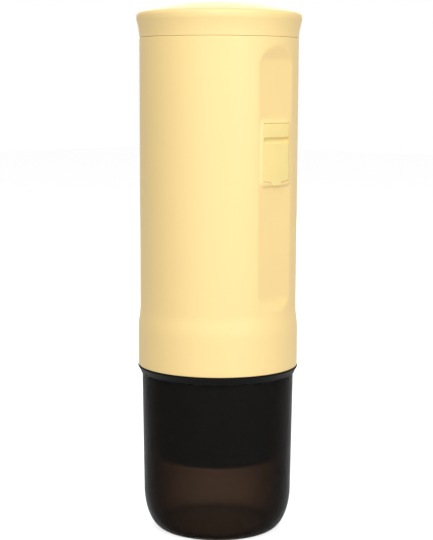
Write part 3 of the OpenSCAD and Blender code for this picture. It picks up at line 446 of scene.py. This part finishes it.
def lathe(outline, turns=meshing["turns"]):     # radius and height pairs, spun round the upright axis
    points, rings, faces = [], [], []
    for radius, height in outline:
        if radius < meshing["axis"]:
            points.append((0, 0, height))
            rings.append([len(points) - 1] * turns)
            continue
        rings.append(list(range(len(points), len(points) + turns)))
        for i in range(turns):
            a = 2 * math.pi * i / turns
            points.append((radius * math.cos(a), radius * math.sin(a), height))
    pairs = list(zip(rings, rings[1:]))
    if outline[0][0] > meshing["axis"]:         # an outline off the axis closes on itself
        pairs.append((rings[-1], rings[0]))
    for low, high in pairs:
        for i in range(turns):
            j = (i + 1) % turns
            corner = list(dict.fromkeys([low[i], low[j], high[j], high[i]]))
            if len(corner) > 2:
                faces.append(corner)
    return points, faces


def rounded(corners, closed=False, steps=6):    # corners with a third number become arcs of that radius
    made, count = [], len(corners)
    for i, corner in enumerate(corners):
        here = Vector(corner[:2])
        radius = corner[2] if len(corner) > 2 else 0
        if not radius or (not closed and i in (0, count - 1)):
            made.append(here)
            continue
        back = Vector(corners[i - 1][:2]) - here
        ahead = Vector(corners[(i + 1) % count][:2]) - here
        half = back.angle(ahead) / 2
        room = meshing["cornerShare"] * min(back.length, ahead.length)
        reach = min(radius / math.tan(half), room)
        radius = reach * math.tan(half)
        back.normalize()
        ahead.normalize()
        middle = here + (back + ahead).normalized() * (radius / math.sin(half))
        start = here + back * reach - middle
        sweep = start.angle_signed(here + ahead * reach - middle)
        for k in range(steps + 1):
            a = -sweep * k / steps
            turned = Vector((start.x * math.cos(a) - start.y * math.sin(a),
                             start.x * math.sin(a) + start.y * math.cos(a)))
            made.append(middle + turned)
    return [tuple(p) for p in made]


def ladder(start, *rest):         # a start, then steps and stops in turn: even values up to each stop
    values = []
    for step, stop in zip(rest[::2], rest[1::2]):
        count = max(1, round((stop - start) / step))
        values += [start + (stop - start) * i / count for i in range(count)]
        start = stop
    return values + [start]


def softMin(first, second, width):
    share = max(width - abs(first - second), 0) / width
    return min(first, second) - share * share * width / 4


def softMax(first, second, width):
    return -softMin(-first, -second, width)


def easeIn(share):
    share = min(max(share, 0), 1)
    return share * share * (3 - 2 * share)


def slabEdge(x, z, half, low, high, corner):    # how far a point lies outside a slab with round corners
    across = abs(x) - half + corner
    along = max(low - z, z - high) + corner
    return math.hypot(max(across, 0), max(along, 0)) + min(max(across, along), 0) - corner


def bridged(count, rows, closed=False):         # faces between rows of points, each row a ring
    faces = []
    for s in range(rows if closed else rows - 1):
        low, high = s * count, (s + 1) % rows * count
        for i in range(count):
            j = (i + 1) % count
            faces.append([low + i, low + j, high + j, high + i])
    return faces


def loft(sections):               # closed sections of equal length, one after the other
    count = len(sections[0])
    points = [p for section in sections for p in section]
    caps = [list(range(count)), list(range(len(points) - count, len(points)))]
    return points, caps + bridged(count, len(sections))


def prism(outline, y0, y1):       # an outline in X and Z, run from y0 to y1
    return loft([[(x, y, z) for x, z in outline] for y in (y0, y1)])


def joined(*parts):
    points, faces = [], []
    for somePoints, someFaces in parts:
        base = len(points)
        points += somePoints
        faces += [[base + i for i in face] for face in someFaces]
    return points, faces


# Where the solids stand

lidLow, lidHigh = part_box("lid_cap")
shellLow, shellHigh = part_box("body_shell")
cupLow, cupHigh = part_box("cup")
ringLow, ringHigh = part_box("base_ring")
flapLow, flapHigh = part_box("port_flap")
tabLow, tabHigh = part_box("port_flap_tab")
usbLow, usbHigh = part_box("usb_socket")
buttonLow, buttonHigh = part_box("power_button")
lightLow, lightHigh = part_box("button_light_ring")
filterLow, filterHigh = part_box("portafilter")
hinge = Vector(next(j for j in frame["joints"] if j["name"] == "flap_open")["pos_m"])
buttonMiddle = (buttonLow.z + buttonHigh.z) / 2


# Lid

lid = {
    "flareHeight": 7.2 * mm, "flare": 1.25 * mm, "flarePower": 1.5,
    "flareSteps": 12, "flareEnd": 0.06,                 # the last bit is left to the lower edge
    "edgeRound": 2.0 * mm, "domeRadius": 128.6 * mm, "domeStep": 2 * mm,
    "domeInset": 3.2 * mm,                              # from the dome's last point to the edge
    "wall": 2 * mm, "skirtWall": 1.3 * mm, "lowerEdge": 0.15 * mm, "postRadius": 3 * mm,
    "seam": 0.1 * mm,                                   # gap left between the lid and the body
}


def domeHeight(radius):
    return lidHigh.z - lid["domeRadius"] + math.sqrt(lid["domeRadius"] ** 2 - radius ** 2)


def buildLid():
    wide, post, step = lidHigh.x, lid["postRadius"], lid["domeStep"]
    foot = wide - lid["flare"]
    inside = foot - lid["skirtWall"]
    base = shellHigh.z + lid["seam"]
    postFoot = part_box("lid_insert")[1].z
    dome = [(r, domeHeight(r)) for r in ladder(0, step, wide - lid["domeInset"])]
    flare = [(foot + lid["flare"] * t ** lid["flarePower"], lidLow.z + lid["flareHeight"] * t)
             for t in ladder(1, -1 / lid["flareSteps"], lid["flareEnd"])]
    hollow = [(r, domeHeight(r) - lid["wall"]) for r in ladder(inside, -step, post)]
    corners = dome + [(wide, domeHeight(wide), lid["edgeRound"])] + flare
    corners += [(foot, base, lid["lowerEdge"]), (inside, base, lid["lowerEdge"])]
    corners += hollow + [(post, postFoot), (0, postFoot)]
    mesh = newMesh("lid", *lathe(rounded(corners, steps=8)))
    newPiece("lid", mesh, "custard", "lid", "cream_plastic", "lid_cap")


# Charging port: the flap, its tab and the pocket that they sit in

port = {
    "halfWidth": 7.55 * mm, "halfThick": 1 * mm, "columnStep": 0.24 * mm,
    "webFront": 0.15 * mm, "webBack": 0.7 * mm, "webTop": 0.82 * mm,    # the thin web, behind the hinge line
    "webRound": 0.15 * mm, "rootRound": 0.1 * mm, "lipDrop": 0.8 * mm,  # the tab's lip hangs over the web
    "shoulder": 0.55 * mm, "grooveRun": 0.85 * mm, "grooveEdge": 0.5 * mm, "grooveRound": 0.2 * mm,
    "edge": 0.3 * mm, "endEdge": 0.18 * mm, "crown": 0.22 * mm,
    "tongueHalf": 2.3 * mm, "tongueSide": 0.7 * mm,     # the pull tongue and the slope of its sides
    "tongueDrop": 1.6 * mm, "tongueUp": 0.55 * mm, "slant": 0.9 * mm, "plateUp": 0.5 * mm,
    "lift": 0.2 * mm, "liftShare": 0.6,                 # the tongue stands out, less so further up
    "liftMiddle": 1.2 * mm, "liftEnd": 3.2 * mm,
    "gap": 0.06 * mm, "topGap": 0.14 * mm, "floorGap": 0.1 * mm, "pocketStep": 0.2 * mm,
    "pocketPast": 2 * mm,                               # how far the cutter stands out of the body
    "mouthGap": 0.3 * mm, "mouthSides": 48, "mouthPast": 0.5 * mm,
    "bezelRaise": 1 * mm, "bezelGap": 0.2 * mm, "bezelSide": 1.6 * mm, "bezelCorner": 2.6 * mm,
    "bezelSlope": 1.0 * mm, "bezelTopSlope": 1.9 * mm,  # the upper side slopes more gently
    "upperFrom": 2,                                     # corner radii below the top where that sets in
    "bezelCrest": 0.4, "bezelRoot": 0.3,                # softness of a slope's ends, as shares of the raise
}
plateFoot = flapLow.z + port["tongueDrop"]              # lower edge of the plate, over the tongue
pocketFloor = hinge.y - port["halfThick"] - port["floorGap"]


def besideTongue(x):              # 0 on the pull tongue, 1 on the plate beside it
    return easeIn((abs(x) - port["tongueHalf"]) / port["tongueSide"])


def flapFoot(x):                  # the lower edge slants down to the tongue in the middle
    outward = max(abs(x) - port["tongueHalf"], 0) / (port["halfWidth"] - port["tongueHalf"])
    plate = plateFoot + port["plateUp"] - port["slant"] / 2 + port["slant"] * outward
    tongue = flapLow.z + port["tongueUp"]
    return tongue + (plate - tongue) * besideTongue(x)


def endInset(x):                  # how far a rounded end draws in the faces
    edge = port["endEdge"]
    near = edge - (port["halfWidth"] - abs(x))
    return edge - math.sqrt(max(edge ** 2 - max(near, 0) ** 2, 0))


def crownDrop(x):                 # the faces are a little rounder than the recess
    return port["crown"] * (x / port["halfWidth"]) ** 2


def portColumns():
    half, edge = port["halfWidth"], port["endEdge"]
    rim = [half - edge * (1 - math.cos(a)) for a in quarterTurn]
    inner = ladder(-half + edge, port["columnStep"], half - edge)
    return sorted(set([-x for x in rim] + inner[1:-1] + rim))


def buildFlap():
    half, edge, shoulder = port["halfThick"], port["edge"], -port["shoulder"]
    front, back, webTop = -port["webFront"], -port["webBack"], port["webTop"]
    sections = []
    for x in portColumns():
        foot, inset = flapFoot(x) - hinge.z, endInset(x)
        face = half - crownDrop(x)
        pull = port["lift"] * (1 - besideTongue(x))
        plate = [(front, webTop, port["webRound"]), (back, webTop, port["webRound"])]
        plate += [(back, shoulder, port["rootRound"]), (-half, shoulder, edge), (-half, foot, edge)]
        plate += [(face + pull, foot, edge), (face + pull * port["liftShare"], foot + port["liftMiddle"])]
        plate += [(face, foot + port["liftEnd"]), (face, shoulder - port["grooveRun"], port["grooveEdge"])]
        plate += [(front, shoulder, port["grooveRound"])]
        section = rounded(plate, closed=True, steps=5)
        limit = face + pull - inset
        sections.append([(x, hinge.y + min(max(y, inset - half), limit), hinge.z + z) for y, z in section])
    mesh = newMesh("portFlap", *loft(sections))
    newPiece("portFlap", mesh, "custardSoft", "flap", "cream_silicone", "port_flap")


def buildTab():
    half = port["halfThick"]
    low, top = tabLow.z - hinge.z, tabHigh.z - hinge.z
    sections = []
    for x in portColumns():
        face = half - crownDrop(x)
        outline = [(-half, low), (0, low), (0, low - port["lipDrop"], port["rootRound"])]
        outline += [(face, low, port["grooveEdge"]), (face, top, port["edge"]), (-half, top)]
        section = rounded(outline, closed=True, steps=5)
        limit = face - endInset(x)
        sections.append([(x, hinge.y + min(y, limit), hinge.z + z) for y, z in section])
    mesh = newMesh("portTab", *loft(sections))
    newPiece("portTab", mesh, "custardSoft", "body", "cream_silicone", "port_flap_tab")


def portPocket():
    gap, half = port["gap"], port["halfWidth"]
    side = half + gap
    foot = [(x, flapFoot(min(max(x, -half), half)) - gap) for x in ladder(-side, port["pocketStep"], side)]
    top = tabHigh.z + port["topGap"]
    return prism(foot + [(side, top), (-side, top)], pocketFloor, shellHigh.y + port["pocketPast"])


def portMouth():                  # the way through the pocket's back to the socket
    middle = (usbLow.z + usbHigh.z) / 2
    tall = (usbHigh.z - usbLow.z) / 2 + port["mouthGap"]
    wide = usbHigh.x + port["mouthGap"] - tall
    mouth = []
    for k in range(port["mouthSides"]):
        a = 2 * math.pi * (k + 0.5) / port["mouthSides"]
        mouth.append((math.copysign(wide, math.cos(a)) + tall * math.cos(a), middle + tall * math.sin(a)))
    return prism(mouth, usbLow.y, pocketFloor + port["mouthPast"])


# Body shell

shell = {
    "bandHeight": 16 * mm, "flareHeight": 9.5 * mm,
    "waist": 33.3 * mm, "top": 33.5 * mm, "bore": 31.4 * mm,
    "lowerEdge": 0.35 * mm, "upperEdge": 0.2 * mm,
    "recessFoot": 25.3 * mm, "recessHead": 4 * mm,       # from the shell's ends to the recess
    "floorHalf": 9.8 * mm, "recessCorner": 3.5 * mm,
    "ramp": 5 * mm, "rampDepth": 1.5 * mm, "rampSoft": 1.2 * mm, "crease": 0.35 * mm,
    "recessBack": 30 * mm, "portBack": 28.6 * mm,        # flat backs inside the wall
    "backMargin": 1.5 * mm,                              # those run past the recess's foot and the bezel
    "backHead": 5.2 * mm,                                # from the shell's top down to the recess's back
    "buttonGap": 0.2 * mm, "holeSides": 96, "holeAhead": 3 * mm, "holeBehind": 4 * mm,
    "flatReach": 21 * mm, "turnStep": 2.5,               # columns go by their X up to here, then by degrees
    "middleStep": 0.8 * mm, "sideStep": 1 * mm,
    "edgeFrom": 6 * mm, "edgeTo": 11 * mm, "edgeStep": 0.22 * mm,         # closer over the bezel's edges
    "plainStep": 2 * mm, "flareStep": 0.7 * mm,          # between rows
    "portStep": 1.5 * mm, "headStep": 0.6 * mm,
    "endReach": 18 * mm,                                 # how far the close rows run into the recess
    "edgePast": 0.5 * mm, "footOver": 1.5 * mm, "headUnder": 1 * mm,      # and past the bezel's edges
}
recessPlane = flapHigh.y - port["bezelRaise"]
bezelSide = port["bezelGap"] + port["bezelSide"]
bezelHalf = port["halfWidth"] + bezelSide
bezelLow = plateFoot - bezelSide
bezelTop = tabHigh.z + bezelSide


def shellRadius(z):
    flareFoot = shellLow.z + shell["bandHeight"]
    flareTop = flareFoot + shell["flareHeight"]
    if z <= flareTop:
        share = min(max((z - flareFoot) / shell["flareHeight"], 0), 1)
        return shellHigh.x + (shell["waist"] - shellHigh.x) * (1 - math.cos(math.pi * share)) / 2
    share = (z - flareTop) / (shellHigh.z - flareTop)
    return shell["waist"] + (shell["top"] - shell["waist"]) * share


def bezelHeight(x, z):            # the raised surround, a rounded slab with sloping sides
    outside = slabEdge(x, z, bezelHalf, bezelLow, bezelTop, port["bezelCorner"])
    upper = easeIn((z - bezelTop) / port["bezelCorner"] + port["upperFrom"])
    slope = port["bezelSlope"] + (port["bezelTopSlope"] - port["bezelSlope"]) * upper
    bevel = softMax(softMin(-outside / slope, 1, port["bezelCrest"]), 0, port["bezelRoot"])
    return (port["bezelRaise"] - crownDrop(x)) * bevel


def backSurface(x, z, radius):    # distance from the axis along +Y
    low = shellLow.z + shell["recessFoot"] + shell["ramp"]
    high = shellHigh.z - shell["recessHead"] - shell["ramp"]
    outside = slabEdge(x, z, shell["floorHalf"], low, high, shell["recessCorner"])
    slope = shell["rampDepth"] / shell["ramp"]
    ramp = recessPlane + slope * softMax(outside, 0, shell["rampSoft"])
    barrel = math.sqrt(radius ** 2 - x ** 2)
    return softMin(barrel, ramp, shell["crease"]) + bezelHeight(x, z)


def outerWall():                  # radius and height pairs up the outside
    lower, upper = shell["lowerEdge"], shell["upperEdge"]
    heights = ladder(
        shellLow.z + lower, shell["plainStep"], shellLow.z + shell["bandHeight"], shell["flareStep"],
        shellLow.z + shell["recessFoot"] + shell["endReach"], shell["plainStep"],
        bezelLow - shell["edgePast"], shell["edgeStep"], plateFoot + shell["footOver"], shell["portStep"],
        tabHigh.z - shell["headUnder"], shell["edgeStep"], bezelTop + shell["edgePast"], shell["plainStep"],
        shellHigh.z - shell["recessHead"] - shell["endReach"], shell["headStep"], shellHigh.z - upper)
    foot = [(shellHigh.x - lower + lower * math.sin(a), shellLow.z + lower - lower * math.cos(a))
            for a in quarterTurn[:-1]]
    head = [(shell["top"] - upper + upper * math.cos(a), shellHigh.z - upper + upper * math.sin(a))
            for a in quarterTurn[1:]]
    return foot + [(shellRadius(z), z) for z in heights] + head


def innerWall():                  # depths behind the recess and heights, from the top down
    bore, flat, deep = shell["bore"], shell["recessBack"], shell["portBack"]
    head = shellHigh.z - shell["backHead"]
    foot = shellLow.z + shell["recessFoot"] - shell["backMargin"]
    portTop, portFoot = bezelTop + shell["backMargin"], bezelLow - shell["backMargin"]
    return [(bore, shellHigh.z), (bore, head), (flat, head), (flat, portTop), (deep, portTop),
            (deep, portFoot), (flat, portFoot), (flat, foot), (bore, foot), (bore, shellLow.z)]


def buildShell():
    reach, step, bore = shell["flatReach"], shell["turnStep"], shell["bore"]
    half = ladder(0, shell["middleStep"], shell["edgeFrom"], shell["edgeStep"],
                  shell["edgeTo"], shell["sideStep"], reach)
    across = half[::-1] + [-x for x in half[1:]]
    edge = math.degrees(math.asin(reach / shellHigh.x)) + step
    angles = [math.radians(90 + a) for a in ladder(edge, step, 360 - edge)]
    rings = []
    for radius, z in outerWall():
        ring = [(x, backSurface(x, z, radius), z) for x in across]
        rings.append(ring + [(radius * math.cos(a), radius * math.sin(a), z) for a in angles])
    for depth, z in innerWall():
        ring = [(x, min(math.sqrt(bore ** 2 - x ** 2), depth), z) for x in across]
        rings.append(ring + [(bore * math.cos(a), bore * math.sin(a), z) for a in angles])
    points = [p for ring in rings for p in ring]
    mesh = newMesh("bodyShell", points, bridged(len(rings[0]), len(rings), closed=True))
    hole = ringRadius() + shell["buttonGap"]
    turns = [2 * math.pi * k / shell["holeSides"] for k in range(shell["holeSides"])]
    rim = [(hole * math.cos(a), buttonMiddle + hole * math.sin(a)) for a in turns]
    buttonHole = prism(rim, buttonLow.y - shell["holeAhead"], shell["holeBehind"] - bore)
    mesh = cutAway(mesh, newMesh("cutters", *joined(portPocket(), buttonHole)))
    mesh = cutAway(mesh, newMesh("mouth", *portMouth()))
    newPiece("bodyShell", mesh, "custard", "body", "cream_plastic", "body_shell")


# Power button and its light ring, on the front

button = {
    "radius": 6.4 * mm, "edge": 0.7 * mm, "dish": 0.45 * mm, "dishStep": 0.6 * mm, "rim": 1 * mm,
    "flangeThick": 0.8 * mm, "flangeEdge": 0.2 * mm, "turns": 128,
    "bendFrom": 2 * mm, "bendFull": 1 * mm,             # from the back and from the face
    "lensGap": 0.3 * mm, "lensWidth": 1.3 * mm, "lensEdge": 0.25 * mm,
    "lensRaise": 0.05 * mm, "lensSeat": 1.4 * mm, "lensFlange": 1.5 * mm,
}


def ringRadius():
    return button["radius"] + button["lensGap"] + button["lensWidth"]


def facingFront(points, follow):  # turns a lathe to face -Y and bends its face to the body
    body = shellRadius(buttonMiddle)
    made = []
    for x, z, height in points:
        bend = body - math.sqrt(body ** 2 - x ** 2)
        made.append((x, -height + bend * follow(height), buttonMiddle + z))
    return made


def buildButton():
    face, back, radius = -buttonLow.y, -buttonHigh.y, button["radius"]
    flange, step = buttonHigh.x, back + button["flangeThick"]
    rim = radius - button["rim"]
    dish = [(x, face - button["dish"] * (1 - (x / rim) ** 2)) for x in ladder(0, button["dishStep"], rim)]
    corners = dish + [(radius, face, button["edge"]), (radius, step)]
    corners += [(flange, step, button["flangeEdge"]), (flange, back, button["flangeEdge"]), (0, back)]
    points, faces = lathe(rounded(corners, steps=6), button["turns"])
    bendFrom, bendFull = back + button["bendFrom"], face - button["bendFull"]
    points = facingFront(points, lambda height: easeIn((height - bendFrom) / (bendFull - bendFrom)))
    mesh = newMesh("powerButton", points, faces)
    newPiece("powerButton", mesh, "custard", "button", "cream_plastic", "power_button")


def buildLightRing():
    face, back = -lightLow.y + button["lensRaise"], -lightHigh.y
    inner, outer, edge = button["radius"] + button["lensGap"], ringRadius(), button["lensEdge"]
    seat, flange = back + button["lensSeat"], outer + button["lensFlange"]
    corners = [(inner, back), (inner, face, edge), (outer, face, edge)]
    corners += [(outer, seat), (flange, seat), (flange, back)]
    points, faces = lathe(rounded(corners, closed=True, steps=5), button["turns"])
    bendFull = face - button["bendFull"]
    points = facingFront(points, lambda height: easeIn((height - seat) / (bendFull - seat)))
    mesh = newMesh("lightRing", points, faces)
    newPiece("lightRing", mesh, "lens", "body", "white_lens", "button_light_ring")


# Cup

cup = {
    "draft": 0.8 * mm, "cornerWide": 8.3 * mm, "cornerTall": 17.9 * mm, "cornerSteps": 28,
    "wall": 2 * mm, "floor": 2 * mm, "rimRound": 0.7 * mm,
    "footWidth": 1 * mm, "footRise": 0.9 * mm, "footRound": 0.4 * mm,     # the ring that it stands on
}


def cupCorner(wide, tall, top):   # the elliptic lower corner, from the floor up
    turns = [math.radians(90 * i / cup["cornerSteps"]) for i in range(cup["cornerSteps"] + 1)]
    return [(top - wide + wide * math.sin(a), cup["cornerTall"] - tall * math.cos(a)) for a in turns]


def buildCup():
    rim, wall, edge = cupHigh.x, cup["wall"], cup["rimRound"]
    low = rim - cup["draft"]
    outside = cupCorner(cup["cornerWide"], cup["cornerTall"], low)
    inside = cupCorner(cup["cornerWide"] - wall, cup["cornerTall"] - cup["floor"], low - wall)
    footIn, footRound = outside[0][0] - cup["footWidth"], cup["footRound"]
    under = cupLow.z + cup["footRise"]
    corners = [(0, under), (footIn - cup["footRise"], under, footRound), (footIn, cupLow.z, footRound)]
    corners += outside + [(rim, cupHigh.z, edge), (rim - wall, cupHigh.z, edge)]
    corners += inside[::-1] + [(0, cup["floor"])]
    mesh = newMesh("smokedCup", *lathe(rounded(corners, steps=6)))
    newPiece("smokedCup", mesh, "smoked", "cup", "smoked_clear", "cup")


# Base ring: the black sweep between body and cup, and the collar that the cup slides onto

baseRing = {
    "roof": 1 * mm, "skirt": 2.2 * mm, "lip": 1.6 * mm, "edge": 0.3 * mm,
    "sweepPower": 1.25, "sweepSteps": 12, "sweepEnd": 0.92,     # the last bit is left to the edge
    "partingTall": 0.35 * mm, "partingDeep": 0.7 * mm,          # the fine line under the body's edge
    "partingEdge": 0.1 * mm,
    "collarOut": 30.17 * mm, "collarWall": 1.8 * mm, "collarEdge": 0.5 * mm,
    "grooveUp": 2.8 * mm, "groove": 1.4 * mm, "grooveDeep": 1.15 * mm,
    "spigotGap": 0.2 * mm, "spigotWall": 2.1 * mm,
}


def buildBaseRing():
    wide, edge, top = ringHigh.x, baseRing["edge"], shellLow.z
    roof = top - baseRing["roof"]
    lipIn, lipFoot = wide - baseRing["lip"], roof - baseRing["skirt"]
    sweepTop, sweepWide = roof + edge, baseRing["lip"] - edge
    sweep = [(lipIn + edge + sweepWide * t ** baseRing["sweepPower"], lipFoot + (sweepTop - lipFoot) * t)
             for t in ladder(0, 1 / baseRing["sweepSteps"], baseRing["sweepEnd"])]
    out, inside = baseRing["collarOut"], baseRing["collarOut"] - baseRing["collarWall"]
    grooveLow = ringLow.z + baseRing["grooveUp"] - baseRing["groove"] / 2
    grooveTop, grooveIn = grooveLow + baseRing["groove"], out - baseRing["grooveDeep"]
    parting, partingIn = top - baseRing["partingTall"], wide - baseRing["partingDeep"]
    spigotOut = shell["bore"] - baseRing["spigotGap"]
    spigotIn = spigotOut - baseRing["spigotWall"]
    corners = [(inside, ringLow.z, edge), (out, ringLow.z, baseRing["collarEdge"])]
    corners += [(out, grooveLow), (grooveIn, grooveLow), (grooveIn, grooveTop), (out, grooveTop)]
    corners += [(out, roof, edge), (lipIn, roof, edge), (lipIn, lipFoot)]
    corners += sweep + [(wide, sweepTop, edge), (wide, parting, baseRing["partingEdge"])]
    corners += [(partingIn, parting), (partingIn, top), (spigotOut, top), (spigotOut, ringHigh.z, edge)]
    corners += [(spigotIn, ringHigh.z, edge), (spigotIn, top), (inside, top)]
    mesh = newMesh("baseRing", *lathe(rounded(corners, closed=True, steps=4)))
    newPiece("baseRing", mesh, "satin", "body", "black_plastic", "base_ring")


# Portafilter

holder = {
    "gripGap": 0.9 * mm, "taper": 1.3 * mm, "wall": 2.2 * mm, "floor": 3 * mm,
    "footRound": 2.4 * mm, "chamberRound": 2 * mm, "spoutBore": 5.2 * mm, "spoutEdge": 0.3 * mm,
    "shoulder": 70 * mm, "shoulderRound": 1.2 * mm,     # the shoulder's height is from the table
    "neckWall": 2.9 * mm, "neckDrop": 4 * mm, "neckRoot": 0.5 * mm, "neckEdge": 0.4 * mm,
    "lugs": 3, "lugSpan": 44, "lead": 13 * mm,          # degrees round the neck, and rise in a turn
    "lugRadius": 26 * mm, "lugReach": 2 * mm, "lugSink": 0.3 * mm,
    "lugHeight": 1.8 * mm, "lugDrop": 2.3 * mm, "lugSlope": 0.3 * mm, "lugEdge": 0.25 * mm,
    "lugSteps": 24, "lugRunOut": 8, "lugEnd": 0.08,     # an eighth of the span runs out at each end
}


def threadLug(neck, turn):
    inner, outer = neck - holder["lugSink"], holder["lugRadius"]
    half, slope, edge = holder["lugHeight"] / 2, holder["lugSlope"], holder["lugEdge"]
    sections = []
    for i in range(holder["lugSteps"] + 1):
        share = i / holder["lugSteps"] - 0.5
        a = math.radians(turn + holder["lugSpan"] * share)
        z = filterHigh.z - holder["lugDrop"] + holder["lead"] * holder["lugSpan"] * share / 360
        draw = min(1, (0.5 - abs(share)) * holder["lugRunOut"])
        out = inner + (outer - inner) * max(easeIn(draw), holder["lugEnd"])
        low, high = z - half, z + half
        corners = [(inner, low), (out, low + slope, edge), (out, high - slope, edge), (inner, high)]
        section = rounded(corners, closed=True, steps=3)
        sections.append([(r * math.cos(a), r * math.sin(a), h) for r, h in section])
    return loft(sections)


def buildPortafilter():
    grip = baseRing["collarOut"] - baseRing["collarWall"] - holder["gripGap"]
    low = grip - holder["taper"]
    neck = holder["lugRadius"] - holder["lugReach"]
    bore, chamber = neck - holder["neckWall"], low - holder["wall"]
    base, shoulder, top = filterLow.z, holder["shoulder"], filterHigh.z
    floor, neckFoot = base + holder["floor"], shoulder - holder["neckDrop"]
    spout, edge = holder["spoutBore"], holder["neckEdge"]
    corners = [(spout, base, holder["spoutEdge"]), (low, base, holder["footRound"])]
    corners += [(grip, shoulder, holder["shoulderRound"]), (neck, shoulder, holder["neckRoot"])]
    corners += [(neck, top, edge), (bore, top, edge), (bore, neckFoot)]
    corners += [(chamber, neckFoot - (chamber - bore)), (chamber, floor, holder["chamberRound"])]
    corners += [(spout, floor)]
    parts = [lathe(rounded(corners, closed=True, steps=8))]
    parts += [threadLug(neck, 360 * i / holder["lugs"]) for i in range(holder["lugs"])]
    mesh = newMesh("filterHolder", *joined(*parts))
    newPiece("filterHolder", mesh, "satin", "portafilter", "black_plastic", "portafilter")


# Pump springs: each is wound once from its seat to the plunger as they stand at rest, its end turns lying
# closer

coil = {
    "turns": 5, "seatGap": 0.06 * mm, "turnRings": 24, "sides": 10,
    "wire": 0.4 * mm,             # the wire's radius
    "closing": 0.25,              # how much closer the end turns lie
}


def buildSpring(name, node, seat, end):
    wire = coil["wire"]
    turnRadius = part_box(node)[1].x - wire
    way = math.copysign(1, end - seat)
    run = abs(end - seat) - 2 * wire - 2 * coil["seatGap"]
    count = coil["turns"] * coil["turnRings"]
    sections = []
    for i in range(count + 1):
        share = i / count
        a = 2 * math.pi * coil["turns"] * share
        climb = share - coil["closing"] * math.sin(2 * math.pi * share) / (2 * math.pi)
        z = seat + way * (coil["seatGap"] + wire + run * climb)
        ring = []
        for k in range(coil["sides"]):
            b = 2 * math.pi * k / coil["sides"]
            r = turnRadius + wire * math.cos(b)
            ring.append((r * math.cos(a), r * math.sin(a), z + wire * math.sin(b)))
        sections.append(ring)
    mesh = newMesh(name, *loft(sections))
    piece = newPiece(name, mesh, "steel", None, "steel", node)
    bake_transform(piece)


def buildSprings():
    plungerLow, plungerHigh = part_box("pump_plunger")
    sleeveLow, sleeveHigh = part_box("pump_sleeve")
    buildSpring("springUpper", "pump_spring_upper", sleeveHigh.z, plungerHigh.z)
    buildSpring("springLower", "pump_spring_lower", sleeveLow.z, plungerLow.z)


buildLid()
buildShell()
buildFlap()
buildTab()
buildButton()
buildLightRing()
buildCup()
buildBaseRing()
buildPortafilter()
buildSprings()


# Floor, world and lamps

stage = {
    "floorSize": 6.0, "floorColour": (0.5, 0.5, 0.5, 1),
    "shownColour": (0.55, 0.55, 0.55, 1), "glow": 0.76,      # where the floor is the background
    "white": (1, 1, 1, 1), "ambient": 0.395,
}
lamps = {                         # azimuth from the camera, elevation, distance, width, height and level
    "left": (-15, 10, 1.5, 0.6, 0.5, 0.165),
    "right": (35, 10, 1.5, 0.6, 0.5, 0.295),
    "high": (0, 45, 1.3, 0.8, 0.6, 0.45),
    "top": (0, 70, 1.1, 0.8, 0.8, 0.17),
    "rim": (180, 20, 1.5, 1.2, 0.6, 0.5),
}


def seenDirectly(finish):         # rays that show the background itself
    camera, glossy, passing = [finish.add("ShaderNodeLightPath", output=name)
                               for name in ("Is Camera Ray", "Is Glossy Ray", "Is Transmission Ray")]
    return camera | glossy | passing


def buildFloor():
    half = stage["floorSize"] / 2
    corners = [(-half, -half, 0), (half, -half, 0), (half, half, 0), (-half, half, 0)]
    mesh = newMesh("floor", corners, [[0, 1, 2, 3]])
    floor = bpy.data.objects.new("floor", mesh)
    scene.collection.objects.link(floor)
    made = Finish("floorPaper")
    plain = made.add("ShaderNodeBsdfDiffuse", {}, {"Color": stage["floorColour"]})
    shown = made.add("ShaderNodeBsdfDiffuse", {}, {"Color": stage["shownColour"]})
    glow = made.add("ShaderNodeEmission", {}, {"Strength": stage["glow"]})
    bright = made.add("ShaderNodeAddShader", {}, {0: shown, 1: glow})
    mixed = made.add("ShaderNodeMixShader", {}, {0: seenDirectly(made), 1: plain, 2: bright})
    made.feed(made.end, {"Surface": mixed})
    mesh.materials.append(made.owner)


def buildWorld():
    world = bpy.data.worlds.new("studio")
    scene.world = world
    made = Finish("studio", owner=world)
    ambient = made.add("ShaderNodeBackground", {}, {"Color": stage["white"], "Strength": stage["ambient"]})
    white = made.add("ShaderNodeBackground", {}, {"Color": stage["white"], "Strength": 1.0})
    mixed = made.add("ShaderNodeMixShader", {}, {0: seenDirectly(made), 1: ambient, 2: white})
    made.feed(made.end, {"Surface": mixed})


def buildLamps():
    aim = Vector((0, 0, (cadBox[0].z + cadBox[1].z) / 2))
    for name, (turn, rise, distance, wide, tall, level) in lamps.items():
        data = bpy.data.lights.new(name, "AREA")
        data.shape = "RECTANGLE"
        data.size = wide
        data.size_y = tall
        data.energy = level * math.pi ** 2 * distance ** 2    # a white face turned to it shows the level
        lamp = bpy.data.objects.new(name, data)
        a, e = math.radians(shot["azimuth"] + turn), math.radians(rise)
        away = Vector((math.sin(a) * math.cos(e), -math.cos(a) * math.cos(e), math.sin(e)))
        lamp.location = aim + away * distance
        lamp.rotation_euler = away.to_track_quat("Z", "Y").to_euler()
        scene.collection.objects.link(lamp)


buildFloor()
buildWorld()
buildLamps()
scene.view_settings.view_transform = "Standard"
print("stage and lamps placed")
